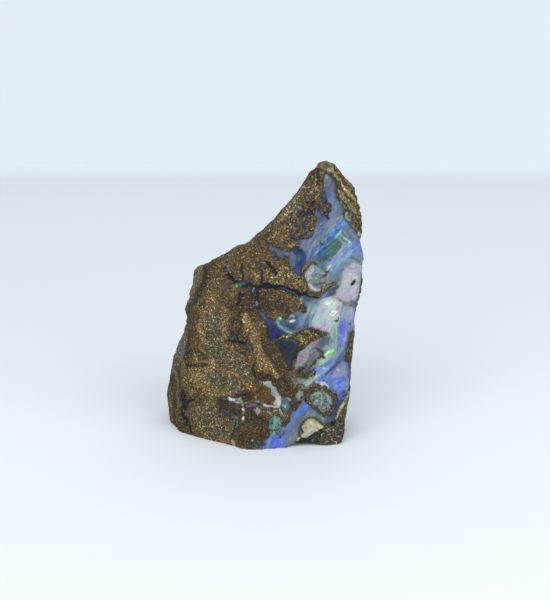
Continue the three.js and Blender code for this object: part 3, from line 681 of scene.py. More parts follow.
streaks("opal",
    ("bec6cc", "17 38.2, 17.8 38.3, 18.6 38.5", 0.9, 0.6),
    ("b6adb6", "16.8 37, 16.6 35.4, 16.2 34", 0.7, 0.6),
    ("8296c4", "19 34.4, 18.6 33, 18 31.4", 0.8, 0.7),
)
fibres("opal", "c4c4ca 9ca2ac b8acb6 aab6bc d0d0d4",
       "16 31.6, 16.4 34, 17.2 36.6, 18.6 39, 20.4 40.6", 1.5, 80, long=2.2, wide=0.16, cover=0.5)

# The milky ring in the golden sand, and the slate under it.
patch("potch", "77807e", "8.2 35, 8 36.4, 8.4 37.6, 9.2 38.8, 10.2 39.2, 11.2 38.6, 12.2 37.6, 13.2 37, "
      "13.9 36.2, 14 35.4, 13 34.9, 12.2 34.4, 11.4 33.6, 10.6 33, 9.6 33.2, 8.8 34", soft=0.7, ragged=2.5)
patch("potch", "9aa0a8", "8.3 35.6, 8.4 37, 9.2 38.4, 10.2 38.6, 10 37.6, 9.4 36.8, 9.2 35.8, 9 34.8",
      soft=0.6, ragged=2)
streaks("potch",
    ("aab0ba", "8.9 36.4, 9.4 37.4, 10.1 38", 0.6, 0.4),
    ("7f96ae", "10.2 38.4, 11 37.8, 11.9 37.3", 0.5, 0.4),
    ("a9b4bc", "10.4 37.4, 11.2 37.3, 12.2 36.9, 12.9 36.3", 0.4, 0.3),
)
streak("opal", "6c869e", "10 36.4, 10.8 37, 11.8 36.7", wide=0.45, soft=0.35)
streaks("potch",
    ("6c8a70", "9.8 35.9, 10.8 35.7", 0.8, 0.6),
    ("7c8f72", "11.3 37.8, 11.9 37.4", 0.7, 0.5),
    ("54564f", "10.2 35, 11.2 34.8, 12.4 35.3", 0.6, 0.4),
    ("b9bdc6", "8.9 34.8, 9.6 34.1, 10.5 33.5, 11.2 33.7", 0.4, 0.3),
)
specks("potch", "3c3a36 4a4a48 a9aeb2 5a5046 5e6a68 c0c8cc 8aa0b4",
       "8.3 36.6, 9.6 38.8, 11.8 37.9, 13.6 36, 12.4 34.6, 10.6 33.4, 8.8 34.4",
       110, small=0.15, large=0.36, cover=0.8)
streak("opal", "5f7672", "10.9 39.2, 11.5 38.6, 12.3 37.8", wide=0.9, soft=0.6)
streaks("rock",
    ("4a3a34", "12.4 37.3, 13 37.4", 0.4, 0.25),
    ("3e3430", "11.95 36.6, 12.3 36.5", 0.45, 0.3),
    ("6a5442", "12.5 36.9, 12.6 36.6", 0.3, 0.3),
    ("5a4632", "14 35.1, 14.6 34.9", 0.5, 0.3),
    ("54503c", "15 34.2, 15.1 34.1", 0.35, 0.25),
)
streak("potch", "9a9aa4", "14.2 34.4, 14.5 34.1", wide=0.35, soft=0.3)
patch("opal", "4d5e6a", "12.7 32.9, 13.4 33.6, 14.2 34.3, 15 34.6, 15.3 33.4, 14.9 32.4, 13.8 32.1",
      soft=0.6)
streaks("opal",
    ("40588c", "12.8 33.3, 13.6 33.9", 0.5, 0.4),
    ("6d7f86", "13.6 33.2, 13.9 33", 0.4, 0.3),
    ("6a7ea6", "11.6 31.7, 12.4 32.6, 12.8 33.2", 0.8, 0.5),
    ("40616e", "7.4 31.9, 8.6 31.8, 10.4 31.3", 0.9, 0.5),
    ("8aa098", "7.2 31.3, 7.6 31.8", 0.4, 0.3),
)

# The white body in the middle, with its streaked left side and rosy lower edge.
patch("opal", "6d8494", "7.9 25.7, 7.8 27, 8 28.6, 8.5 29.8, 8.3 30.8, 9.4 31.4, 11.2 31.3, 11.4 30.4, "
      "10.7 29.2, 10 28, 9.6 26.6, 9.4 25.8", soft=0.4)
streaks("opal",
    ("4a5a68", "8.2 25.7, 8.6 26.8, 9.3 28.2", 1.2, 0.6),
    ("3f5060", "9.3 26.6, 9.9 28, 10.7 29.6", 0.35, 0.3),
    ("4c6478", "8.9 28.8, 9.6 30, 10.2 31", 0.3, 0.25),
    ("5e88b4", "9 29.8, 9.5 30.6, 10 31.2", 0.5, 0.4),
    ("9ab4c0", "8.5 28.4, 9 29.7, 9.8 31", 0.35, 0.3),
    ("acc0c4", "9.2 28, 9.8 29.3, 10.4 30.5", 0.25, 0.25),
)
streak("glint", "c8d4cc", "9.9 29.7, 10.3 30.5", wide=0.2, soft=0.2)
streak("opal", "8ea2aa", "8.2 28.4, 7.9 27.4", wide=0.4, soft=0.3)
fibres("opal", "90a8b8 a8bcc4 5c7890 6c94b4 7c9098",
       "8.4 25.8, 8.9 28, 9.8 30, 10.8 31.6", 1.0, 60, long=2.4, wide=0.13, cover=0.6)
patch("opal", "b6c2c8", "11.3 31.2, 12.4 32, 14 32.1, 15.6 31.6, 16 30.6, 15.7 29, 15.4 27.4, 15 26, "
      "14.3 24.9, 13.4 24.5, 12.6 24.9, 11.4 25.5, 10.4 26, 9.5 26.3, 9.8 27.4, 10.6 28.8, 11.1 30",
      soft=0.4)
patch("opal", "cad2d0", "11.8 31, 13.4 31.6, 15 31.3, 15.5 30.2, 14.6 29.4, 13 29.8, 11.8 30", soft=0.7)
streaks("opal",
    ("a6b4b8", "11.3 31.4, 11.8 30.4, 11.6 29.8", 0.7, 0.6),
    ("aecad0", "12.4 29.8, 13.2 29, 13.6 28.6", 0.9, 0.6),
    ("9aa4dc", "11.6 29.1, 12.1 29.4", 0.7, 0.5),
    ("94bad8", "10.9 28.6, 11.5 28.4", 0.8, 0.5),
    ("7a9ad4", "10.1 27.4, 10.6 27.8", 0.7, 0.5),
    ("a0c0d0", "10.8 27.2, 11.8 27, 12.4 26.6", 0.8, 0.7),
    ("8c9ab2", "9.7 26.5, 10.4 26.3", 0.7, 0.5),
    ("c6c2d4", "12.4 28.2, 13 27.6", 0.9, 0.6),
    ("c6bac8", "12.6 26.3, 13.2 25.8", 0.9, 0.6),
    ("b4b6c8", "11.4 26.2, 12.2 25.6", 0.7, 0.6),
)
# Painted highlights: these white glints are the lamps' light on the top of the milky body, not its own
# colour.
streaks("glint",
    ("f0eef4", "13.7 28.7, 14.3 28.9, 14.8 28.8", 0.75, 0.4),
    ("e6e2ea", "13.5 28.4, 14.2 28.3", 0.5, 0.4),
    ("f6f6fa", "12.6 30.75, 13.3 30.7", 0.4, 0.25),
    ("f2f2f4", "14.15 30.6, 14.5 30.55", 0.4, 0.25),
)
streaks("opal",
    ("b4b6a4", "15.3 30.6, 15.4 29.4, 15.2 28.4", 0.6, 0.5),
    ("afc0b8", "14.2 28, 14.4 27, 14 26", 0.8, 0.7),
    ("80868a", "15.5 28.8, 15.6 28.2", 0.45, 0.35),
    ("8a7a86", "9.6 25.9, 10.6 25.6, 11.6 25.1, 12.4 24.9", 0.45, 0.4),
)
streak("rock", "6a5a60", "12 24.6, 12.7 24.6", wide=0.4, soft=0.35)
streak("rock", "4a4236", "14.3 27.3, 14.6 27, 14.9 27.2, 15.2 27.7", wide=0.3, soft=0.2)
fibres("opal", "d4dcdc a8bccc c8bcd0 b4d0d0 dcd8e0",
       "10.4 26.4, 12 28.2, 13.6 30, 15 31.4", 2.0, 60, long=1.8, wide=0.16, cover=0.4)
streak("opal", "8a855e", "15.2 31.7, 16.4 31, 17.4 30.6, 18.3 30.2", wide=0.5, soft=0.3)
streak("cream", "a08c50", "17.6 30.4, 18.2 30.3", wide=0.35, soft=0.25)

# The violet-blue column down the right edge and the pale green band beside it.
patch("opal", "8292bc", "16 30.7, 17.2 30.3, 19 29.9, 19 25.2, 17.5 24.9, 17.1 23, 16.9 21.6, 16.5 20, "
      "15.8 18.9, 15 18.7, 14.8 20, 14.9 22, 15.1 24, 15.2 26, 15.5 28, 15.8 29.6", soft=0.5)
streaks("opal",
    ("8f9aa4", "16.3 30.2, 16.6 29, 16.8 28.4", 1.1, 0.8),
    ("a6b8b2", "17.8 29.6, 17.9 28.4, 17.7 27.6", 0.9, 0.7),
    ("8394ac", "16.9 27.8, 17 26.8", 0.8, 0.7),
    ("7f8fe0", "15.6 26.4, 15.7 25.8", 0.7, 0.5),
    ("8da0dc", "16.3 26.8, 16.2 25.6, 16.1 24.4", 0.8, 0.6),
    ("7485b0", "17.4 27, 17.8 25.8, 17.6 25.2", 0.8, 0.6),
    ("7e92dc", "18.2 27.6, 18.3 26.6", 0.5, 0.4),
)
streak("rock", "86695e", "17.4 26.6, 17.7 26.2", wide=0.45, soft=0.3)
streaks("opal",
    ("5a6872", "17.3 24.6, 17.1 22.8, 16.7 21", 0.8, 0.5),
    ("8498c0", "16 24, 15.9 22.6", 0.9, 0.7),
    ("566a92", "15.7 22.2, 15.5 21, 15.4 19.8", 1.2, 0.8),
    ("4c6480", "15.8 20.6, 15.3 19.4, 14.6 18.6", 0.8, 0.6),
)
fibres("opal", "98a4dc 7488b4 a0a8cc 8494c8 a8b4d4",
       "15 18.8, 15.8 21.5, 16.1 25, 16.9 29.6", 1.1, 90, long=2.8, wide=0.15, cover=0.5)
patch("opal", "8ca59a", "14.3 25, 15 24.6, 15 22.6, 14.8 20.8, 14.4 19.4, 13.4 18.4, 12.2 17.5, 11 17, "
      "10.2 17.2, 9.9 18.4, 10.8 19, 11.8 19.6, 12.6 20.2, 13.1 21, 13.6 21.8, 14 22.6, 13.7 23.4, "
      "13.2 24.2", soft=0.5)
streaks("opal",
    ("9fb59f", "14.5 26, 14.2 24.8, 13.8 24", 0.9, 0.6),
    ("aebfb4", "14.8 26.2, 14.8 24.4", 0.4, 0.4),
    ("5e7a74", "13 23.3, 13.6 23, 14 22.6", 0.45, 0.35),
    ("7494c8", "13.3 22, 13.8 22.4, 14.3 22.9", 0.4, 0.3),
    ("7f8f84", "14.2 23.2, 14.6 22.4, 14.2 21.6", 0.4, 0.4),
    ("8e9faa", "12.4 21.8, 13.1 21.3", 0.7, 0.5),
    ("a89a96", "11.9 21.3, 12.6 21.2", 0.6, 0.5),
    ("a6ccb8", "12.5 19.3, 13.2 19.8, 13.8 20.3", 0.9, 0.6),
    ("7a9c98", "13.8 19.4, 14.4 20.2", 0.7, 0.6),
)
streak("glint", "98e486", "12.9 20.3, 13.5 20.6, 14.3 21", wide=0.6, soft=0.35)
streak("glint", "b6ff94", "13.05 20.4, 13.35 20.6", wide=0.4, soft=0.25)
streak("opal", "76b494", "13.9 20.5, 14.4 20.8", wide=0.3, soft=0.3)
streak("opal", "c4e6d0", "12.3 19.7, 12.9 20.1", wide=0.35, soft=0.3)
fibres("opal", "a8c4b4 88a49c b8ccc0 708c8c c8dcd0 90a8a0",
       "10.2 17.4, 12 18.7, 13.6 20.6, 14.3 23, 14.7 25.6", 1.1, 90, long=2.2, wide=0.14, cover=0.55)
fibres("opal", "d0dcd4 c0d4cc e0e8e0", "11 18.4, 12 19, 12.8 19.8", 0.6, 22, long=0.9, wide=0.1, cover=0.7)
patch("opal", "586973", "10.5 22.2, 11.4 23.1, 12.6 23.8, 13.1 23.8, 13.2 22.8, 12.6 22.1, 12 21.6, "
      "11 21.5", soft=0.5)
streak("opal", "6c7e8a", "12.4 24, 13.2 24", wide=0.5, soft=0.4)

# The rose-grey pool on the left, with its grey disc and the brown crescent.
patch("opal", "96979f", "6 17, 6.4 18.4, 6.5 19.4, 7 20.7, 8 21.4, 8.8 22.2, 9.6 22.8, 10.8 23.2, "
      "10.5 22.3, 9.8 21.4, 9.2 20.6, 9 19.6, 8.6 18.8, 7.8 18.2, 7 17.4, 6.5 16.8", soft=0.3)
streaks("opal",
    ("a98d90", "9.6 22.5, 10.4 22.9, 11.4 23.4", 0.45, 0.35),
    ("788c96", "6.5 17.6, 7 18.4, 7.6 18.8", 0.8, 0.6),
    ("70787e", "6.3 17.2, 6.9 17.4", 0.5, 0.4),
    ("9ea6ac", "8 20.4, 8.6 21.2", 0.8, 0.6),
    ("9a8894", "9.4 22, 10.1 22.4", 0.6, 0.5),
)
streak("glint", "c4707c", "7.25 20.2, 7.5 19.8", wide=0.4, soft=0.3)
streak("opal", "a27480", "7 18.5, 7.1 18.3", wide=0.35, soft=0.3)
specks("opal", "88a090 a8848c 90a4b0 b09aa0 7c9890",
       "6.6 18, 7 20, 8.6 21.6, 8.8 20.6, 8.2 19", 26, small=0.15, large=0.35, cover=0.6)
patch("opal", "6f787b", "9.1 19.6, 9.5 20.6, 10.2 21.2, 11 21, 11.5 20.2, 11 19.3, 10.4 18.7, 9.8 18.2, "
      "9.2 17.4, 8.4 17.4, 8 17.9, 8.4 18.6, 8.9 19", soft=0.4)
streaks("opal",
    ("8a9296", "9.4 20, 9.9 20.7, 10.7 20.9", 0.3, 0.3),
    ("828888", "10.5 20, 11 19.8", 0.5, 0.4),
    ("64706f", "8.9 18.2, 9.4 19", 0.5, 0.4),
)
streak("rock", "4a3a2a", "10.6 21.2, 11.2 21, 11.8 20.5, 12 19.9, 12.3 19.4", wide=0.6, soft=0.25)
streak("sand", "7c6440", "11.5 20.4, 11.8 20", wide=0.4, soft=0.3)
streak("rock", "544634", "11.5 19.8, 11.2 19.4, 10.9 19.2", wide=0.4, soft=0.25)
streak("rock", "55472f", "10.2 18.8, 10.1 18.2, 9.9 18", wide=0.6, soft=0.3)
patch("rock", "39312a", "6.8 17.3, 7.6 17.6, 8.3 17.4, 8.8 16.8, 9.4 16.6, 10.1 16.8, 9.7 15.9, 9 15.3, "
      "8.4 14.7, 7.6 14.9, 6.8 15.8, 6.5 16.6", soft=0.3)
streak("vein", "1d1b1e", "7.9 16.8, 8.3 16.3", wide=0.8, soft=0.3)
streak("sand", "8c6742", "8.1 17.25, 8.6 17", wide=0.4, soft=0.25)
streak("sand", "c0b08a", "8.45 15.9, 8.6 15.8", wide=0.3, soft=0.25)
specks("sand", "6c5a44 8a7658 4a3c30 2c2624",
       "6.9 17, 8 17.3, 9.6 16.4, 8.4 15, 7 15.8", 22, small=0.2, large=0.35)
specks("sand", "a87c40 94713c 8c6a3c",
       "6.5 21, 6.1 20, 5.9 18, 5.4 17.6, 5.8 19.4", 12, small=0.25, large=0.45)

# The bright blue flow below, and the round blob at its right.
patch("opal", "7190d0", "9.9 14.9, 9.9 16, 10.6 17.2, 11.8 17.9, 13.2 18.7, 14.6 19.1, 14.6 18, 13.2 17, "
      "12.5 16.2, 12.2 15, 11.6 14.1, 10.5 14", soft=0.5)
streaks("opal",
    ("6c88b4", "12.6 17.8, 13.6 18.5, 14.8 19.4", 0.9, 0.6),
    ("94aedc", "12 16, 12.5 16.8, 13 17.5", 0.6, 0.5),
    ("6f86dc", "10.6 16.3, 11.3 17", 0.6, 0.5),
    ("5f7cd4", "11.8 15.4, 12 14.6", 0.7, 0.5),
)
# Painted highlights: these white glints are the lamps' light on the bright blue flow, not its own colour.
streaks("glint",
    ("d4e2ff", "10.3 15.5, 10.7 15.2", 0.9, 0.5),
    ("ffffff", "10.5 15.5, 10.7 15.1", 0.45, 0.3),
    ("e2e8fc", "10.4 14.2, 10.8 14.1", 0.45, 0.3),
)
streak("opal", "ccd4e4", "11.9 17.1, 12.3 17.1", wide=0.5, soft=0.35)
streak("rock", "6c7468", "11.6 17.4, 11.8 17.2", wide=0.4, soft=0.3)
patch("opal", "6d86c6", "12.4 15, 12.8 16, 13.8 17, 15 18, 16 18.5, 17.1 17.9, 17.6 16.6, 17.7 15, "
      "17.5 13.4, 17 12.2, 16.2 11.4, 15.4 11.5, 14.6 12, 13.6 12.8, 12.8 13.5, 12.2 14.2", soft=0.4)
patch("opal", "8a96b2", "14 16.6, 15.2 17.8, 16.4 17.9, 17.2 16.8, 16.6 15.4, 15.2 15.6, 14.2 15.4",
      soft=0.9)
streaks("opal",
    ("8a9cae", "16 18, 16.5 17.6", 0.7, 0.5),
    ("9494e2", "13.9 15.4, 14.5 15.6", 0.9, 0.6),
    ("5b6aec", "15.7 14.9, 15.3 13.8, 15.2 12.6", 1.1, 0.7),
    ("5a68ff", "15.3 13.4, 15.35 12.7", 0.6, 0.4),
    ("6070d4", "12.8 14.5, 12.5 13.9", 0.6, 0.5),
    ("7e90d8", "14.4 13.6, 14.8 13", 0.6, 0.5),
    ("748c9e", "17.1 15, 17 13.4, 16.6 12.4", 0.7, 0.6),
    ("5a7088", "12.9 13.3, 13.8 12.6, 14.8 11.9", 0.6, 0.5),
    ("4c5f78", "12.5 15.6, 13.2 16.5, 14.2 17.4, 15.4 18.6", 0.4, 0.35),
)
streak("potch", "aeb6c4", "14.9 17, 15.3 16.8", wide=0.5, soft=0.35)
specks("opal", "a4b0cc 98a4e0 6c80b0 b4bccc 5c6cc0 8898b8",
       "13 15, 14.4 17, 16.4 17.8, 17.2 15.4, 16.6 13, 15 12.4, 13.6 13.4",
       70, small=0.15, large=0.4, cover=0.5)
streak("glint", "ccd4ea", "11.2 13.9, 11.9 13.65, 12.6 13.6", wide=0.5, soft=0.3)
streak("rock", "545d50", "17.5 17, 17.8 15, 17.6 13", wide=0.4, soft=0.35)
streak("opal", "424c80", "16.4 12, 15.8 10.6, 15 9.2, 14.2 7.8, 13.4 6.9", wide=1.3, soft=0.5, taper=0.3)
streaks("opal",
    ("505fb4", "15.9 11.5, 15.5 10.6", 0.6, 0.4),
    ("5a6a90", "14.2 8.6, 13.4 7.4", 0.6, 0.4),
    ("4e5a66", "14.2 7.4, 13.4 6.6, 12.8 6", 0.6, 0.4),
)

# The blue pocket on the left, with its disc, and the slate lens below it.
patch("opal", "3d4764", "-1.6 29.6, -0.8 29, 0.3 27.7, 1.2 27.5, 2 27.2, 2.4 26, 3.4 25.2, 4.2 24.9, "
      "4.2 24.1, 2.8 24.3, 2.1 23.4, 1.2 22.9, 0.7 23.3, 0.7 24.2, 0.6 25, 0.1 26, -0.5 27.4, -1.4 28.4",
      soft=0.3)
streak("opal", "252e48", "1.1 24.2, 1.3 23.5, 2 23.8", wide=0.9, soft=0.5)
streak("opal", "4b5878", "0.4 26.8, 1.4 26, 2.2 25.2", wide=0.7, soft=0.6)
streak("potch", "7a8696", "-0.5 27.8, -0.2 27.5", wide=0.35, soft=0.3)
streak("potch", "717d8a", "0.6 24.7, 0.8 24.4", wide=0.35, soft=0.3)
streak("opal", "54586c", "-1.2 28.9, -0.4 28.2, 0.2 27.6", wide=0.4, soft=0.4)
patch("opal", "596b7e", "2 27.2, 2.5 28.1, 3.1 28.1, 3.4 27.5, 4.5 27.5, 5 28.2, 5.8 29, 6.8 29.2, "
      "7.8 28.8, 8.1 27.6, 7.9 26.4, 7.7 25.2, 6.6 24.6, 5.4 24.2, 4.6 24.4, 3.6 25.2, 2.6 25.8, 2 26.4",
      soft=0.3)
streaks("opal",
    ("6d92ba", "7.5 28, 7.4 27, 7 26", 1.1, 0.6),
    ("6e7c86", "6 28.7, 7 28.9", 0.7, 0.5),
    ("8fa4bc", "7.8 28.4, 7.9 27.6", 0.3, 0.3),
    ("3f4d66", "4.2 26.3, 5.2 25.8, 6.2 25.6", 0.9, 0.5),
    ("43508e", "5.1 26.2, 5.9 26.5", 0.5, 0.3),
    ("4b5a74", "3.4 27, 4.4 26.9", 0.6, 0.4),
    ("5c909c", "2.3 27.4, 2.4 26.5, 3 25.8, 3.9 25.2, 4.8 24.9", 0.65, 0.35),
    ("86bcc4", "2.2 26.9, 2.8 26.1, 3.7 25.4", 0.3, 0.25),
    ("8ca6ae", "4.4 24.9, 5.2 24.5, 5.6 24.1", 0.55, 0.3),
    ("b89a7c", "2.4 25.9, 2.9 25.4", 0.2, 0.25, 0.6),
    ("64905c", "5.4 24.9, 6 24.8", 0.45, 0.3),
    ("609c74", "2.7 27.9, 2.8 27.2", 0.8, 0.5),
)
streak("glint", "b8f04c", "2.8 27.5, 2.95 27.3", wide=0.45, soft=0.25)
streak("opal", "7a9484", "4.1 27.1, 4.7 27.1", wide=0.4, soft=0.3)
streak("potch", "949c98", "4.8 27.9, 5.4 28.2, 5.8 27.9", wide=0.5, soft=0.3)
# Painted highlight: this white glint and the white dash after it are the lamps' light on the pocket, not its
# own colour.
streak("glint", "e6d8be", "5 26.85, 5.8 26.95", wide=0.4, soft=0.25)
streak("potch", "cccabc", "5.6 27.2, 6 27.2", wide=0.3, soft=0.25)
streak("vein", "49534f", "6.1 27.9, 6.25 27.6", wide=0.4, soft=0.25)
patch("rock", "3e3029", "6.9 30.2, 7.5 30.8, 8.1 30.5, 8.45 29.8, 8.35 28.9, 7.9 28.7, 7.4 29.2, 7.1 29.6",
      soft=0.25)
streak("sand", "88825f", "6.9 30.5, 7.4 31, 8 30.9", wide=0.3, soft=0.25)
streak("sand", "6a5234", "7.3 30, 7.6 29.8", wide=0.5, soft=0.3)
patch("opal", "383b44", "1.9 22.7, 2.6 23.2, 3.6 23.2, 4.4 23.6, 5.6 23.5, 6.4 23, 7 22.6, 6.6 21.6, "
      "6.2 20.6, 5.9 19.8, 5.6 18.8, 5.4 17.6, 5.1 16.4, 4.7 17.6, 4.2 18.8, 3.6 19.8, 3.2 20.8, "
      "2.8 21.5, 2.1 22", soft=0.35)
streaks("opal",
    ("4c4f56", "5.6 23, 6.4 22.6", 0.7, 0.5),
    ("424856", "4.9 20, 4.8 18.4", 0.6, 0.4),
    ("2b2b32", "2.6 22.5, 3.4 22.2", 0.8, 0.5),
    ("454a56", "3.8 22.6, 4.8 21.6", 0.6, 0.6),
)
streak("rock", "575450", "5 16.4, 5.2 15.4", wide=0.8, soft=0.5)
streak("potch", "6d6e74", "4.9 16, 5.2 15.7", wide=0.5, soft=0.4)
streak("sand", "8a784c", "1.7 22.9, 2.8 23.3, 3.8 23.7, 5 23.9, 6 24.1", wide=0.4, soft=0.25)
streak("sand", "8f7c50", "2.8 23.4, 3.2 23.2", wide=0.5, soft=0.3)

# The sandy tongue of rock between the pocket and the rose-grey pool.
patch("sand", "55472f", "5.8 24.3, 6.6 24.8, 7.4 25, 8.2 25.5, 9.2 25.7, 10.2 25.4, 11.2 25, 12.2 24.5, "
      "12.7 24.2, 12 23.9, 11 23.4, 10.2 23, 9.4 22.7, 8.8 22.1, 8 21.4, 7.4 21, 6.8 20.4, 6.4 19.4, "
      "6 18.4, 5.6 17.6, 5.7 19, 6.1 20.4, 6.5 21.4, 7 22.4, 6.6 23.2, 6 23.8", soft=0.25)
streak("rock", "4c4042", "9.2 25.6, 10.4 25.1, 11.6 24.6", wide=0.6, soft=0.35)
specks("sand", "9a8652 b0a070 8c7a4c c0b898 3a3128 6c5c3c 332b24",
       "6.2 24.2, 8.2 25.1, 9.6 25, 11 24.4, 9.8 23.4, 8.4 22.2, 7.2 21.4, 7.2 22.8",
       90, small=0.18, large=0.42)
streak("sand", "a08a50", "8.4 24.9, 9 24.8", wide=0.5, soft=0.3)
streak("sand", "b4a87c", "7.1 23, 7.5 23", wide=0.4, soft=0.3)

# The mixed ground below it, down to the ring: grey-green potch and pale threads.
patch("potch", "727c72", "5 15.4, 6 15.4, 7.4 15.2, 8.2 14.9, 9.2 15.3, 9.8 16.4, 10 15.2, 9.8 14.2, "
      "9.5 13.8, 9 12.6, 8.2 12.8, 7.8 13.4, 6.8 13.9, 6 13.6, 5.3 14.4", soft=0.35)
streaks("potch",
    ("5b5c56", "5.2 15, 6.2 14.8, 6.6 14.2", 0.7, 0.5),
    ("97ada2", "9.7 16.4, 9.4 15.2, 9 14.2, 8.4 13.4", 0.9, 0.5),
    ("a6beb2", "8.6 14.4, 9.4 14.4", 0.6, 0.4),
    ("7d937c", "7.4 14.8, 8 14.4", 0.5, 0.4),
)
streak("opal", "9ab4aa", "9.8 17.8, 10 16.8, 9.7 15.8", wide=0.5, soft=0.4)
patch("potch", "7a8178", "6.9 12.8, 7.9 12.3, 7.9 11.4, 7.4 10.9, 7.2 10.2, 6.5 10.4, 6.1 11, 6.4 12",
      soft=0.35)
streak("potch", "939893", "6.9 12, 7 11", wide=0.5, soft=0.4)
streak("rock", "3a322a", "7.3 11.2, 7.5 10.6", wide=0.4, soft=0.25)
streak("potch", "989088", "7.1 13.5, 7.7 13, 8.2 12.5", wide=0.35, soft=0.25)
streak("sand", "847a58", "6.9 12.7, 7.4 12.9", wide=0.35, soft=0.3)
streak("rock", "6e5240", "7.4 13.7, 7.9 13.4", wide=0.4, soft=0.3)
patch("rock", "40362c", "5 10.3, 5.8 11.4, 6.4 10.4, 7.3 10.4, 7.4 9.9, 6.9 9.2, 6.3 8.5, 5.8 8.2, "
      "5.4 8.6, 5.2 9.4", soft=0.3)
patch("rock", "53402a", "4.4 8.6, 5 8.1, 5.1 7, 4.9 6.2, 4.4 5.4, 3.9 4.6, 3.6 4.9, 4 6, 4 7, 3.9 7.8",
      soft=0.3)
streak("sand", "6e5432", "4.6 8, 4.6 7", wide=0.4, soft=0.3)

# The blue at the foot.
streaks("opal",
    ("5a78cc", "8 9.8, 8.2 8.7, 7.2 7.7, 6 7.6", 1.5, 0.9),
    ("5a7cd8", "7.9 9.6, 8.1 9", 0.8, 0.6),
    ("627edc", "6.8 7.6, 6 7.4", 0.8, 0.6),
    ("4d6a96", "8.2 7.9, 9.2 7.9, 10.2 7.8", 0.9, 0.7),
    ("5c6a8a", "9.2 9, 9.8 8.4", 0.6, 0.5),
    ("5e769c", "5.6 6.8, 5.8 5.6, 5 4.6", 1.1, 0.8),
)
patch("opal", "5a73d2", "0.4 0.4, 0.8 2, 1.6 3.4, 3 3.6, 4 2.6, 3.8 1, 3.4 0", soft=0.9)
streaks("opal",
    ("6c96d4", "0.2 0.6, 0.5 1.4, 1 2.4", 0.8, 0.6),
    ("6f90cc", "2.9 2.4, 3.4 1.6", 0.8, 0.7),
    ("7486b2", "3.4 3.8, 4.4 4.6, 5 5.4", 0.9, 0.7),
    ("6f95a0", "1.1 3.6, 1.9 3.6", 0.6, 0.5),
    ("48466a", "-1.5 0.8, -0.8 1.1, -0.2 1.3", 0.8, 0.5),
    ("5a76b4", "0.4 2.4, 0.8 3", 0.4, 0.4),
)
streak("opal", "6a7a7b", "12.2 6.8, 10.8 7.3, 9.2 7.4, 7.9 6.9, 7 5.8, 6.4 4.6, 6 3.2, 5.3 1.6, 5 0.6",
       wide=1.3, soft=0.7, taper=0.3)
streaks("opal",
    ("7d8b86", "6.6 4.2, 6 2.6, 5.4 1.2", 0.7, 0.5),
    ("8c9280", "12.2 6.2, 11.8 6.9, 11.2 7.2", 0.3, 0.3),
    ("53626e", "7.2 5.6, 6.9 4.4, 6.8 3.4", 0.4, 0.4),
)
fibres("opal", "7890a4 5c6c90 88a0b0 7484a8 6680a0",
       "4.6 0.4, 5.2 3, 6.2 5.4, 7.8 7, 10.6 7.7, 12.4 7", 1.3, 80, long=2.4, wide=0.14, cover=0.5)
fibres("opal", "7c94dc 5068c4 6c90d8 5c80c0",
       "0.4 0.2, 1.4 2, 3.4 3.8, 5 6, 6.4 8", 1.4, 50, long=2, wide=0.15, cover=0.45)
patch("opal", "6d8b86", "1.8 7.2, 2.5 7, 2.9 6.3, 3 5.6, 2.7 4.8, 2.6 4.2, 2 3.8, 1.4 4.2, 1.1 5, "
      "1.4 5.8, 1.5 6.6", soft=0.35)
streak("opal", "7ea8a0", "2 6.2, 1.9 5.2", wide=0.6, soft=0.5)
streak("rock", "4a4a40", "1.8 4.1, 2 3.8", wide=0.5, soft=0.3)
streak("opal", "586a64", "0.8 6.6, 0.7 5.6, 0.9 4.6", wide=0.6, soft=0.5)
streak("opal", "5e7290", "3.4 6.6, 3.3 5.8", wide=0.6, soft=0.4)

# The white and lilac potch that threads the rock to the left of it, its brightest white spots painted
# highlights.
streak("glint", "cfccdc", "-7.8 11.1, -7.3 10.7, -6.8 10.3", wide=0.9, soft=0.4, ragged=2)
streaks("potch",
    ("8f9490", "-6.7 10.8, -6 10.6, -5.4 10.3", 0.7, 0.4, 1.0, 2),
    ("a8aaa4", "-6.9 10.1, -6.2 10, -5.5 9.8", 0.5, 0.3),
    ("8a9288", "-5.4 11, -5.2 10, -4.8 9.1", 0.6, 0.35),
    ("6a6282", "-4.4 9.2, -3.2 9.4, -2 9.6", 0.6, 0.4),
)
# Painted highlights: the two white glints here are the lamps' light on the potch.
streak("glint", "dccad6", "-4.9 8.8, -4.6 8.2", wide=0.85, soft=0.35, ragged=2)
streak("potch", "98929e", "-4.7 8.2, -4.8 7.4", wide=0.55, soft=0.3)
streak("glint", "d0d6d0", "-4.9 6.9, -4.7 6.4", wide=0.65, soft=0.3)
streak("potch", "85888e", "-2.3 10.2, -1.4 10.2", wide=0.5, soft=0.3)
patch("potch", "929490", "-2.2 9.2, -1.2 8.7, -1.2 8, -1.8 7.1, -2.4 8.2", soft=0.35)
streak("vein", "33363a", "-1.9 9.7, -1.2 9.6", wide=0.4, soft=0.25)
patch("potch", "969a9c", "-1 14.2, 0.2 14.7, 1.1 14.4, 1.4 13.6, 2.1 13.2, 2.5 12.2, 2.9 11.6, 3.3 11.2, "
      "3.3 9.6, 3 9.1, 2.2 9, 1.5 9.6, 1.9 10.6, 1.5 11.4, 1 12, 1.1 12.9, 0.4 13.2, -0.5 13.6", soft=0.3)
patch("potch", "bdbdae", "2 11.4, 2.8 11.2, 3 10, 2.6 9.2, 2 9.6, 2.1 10.4", soft=0.5)
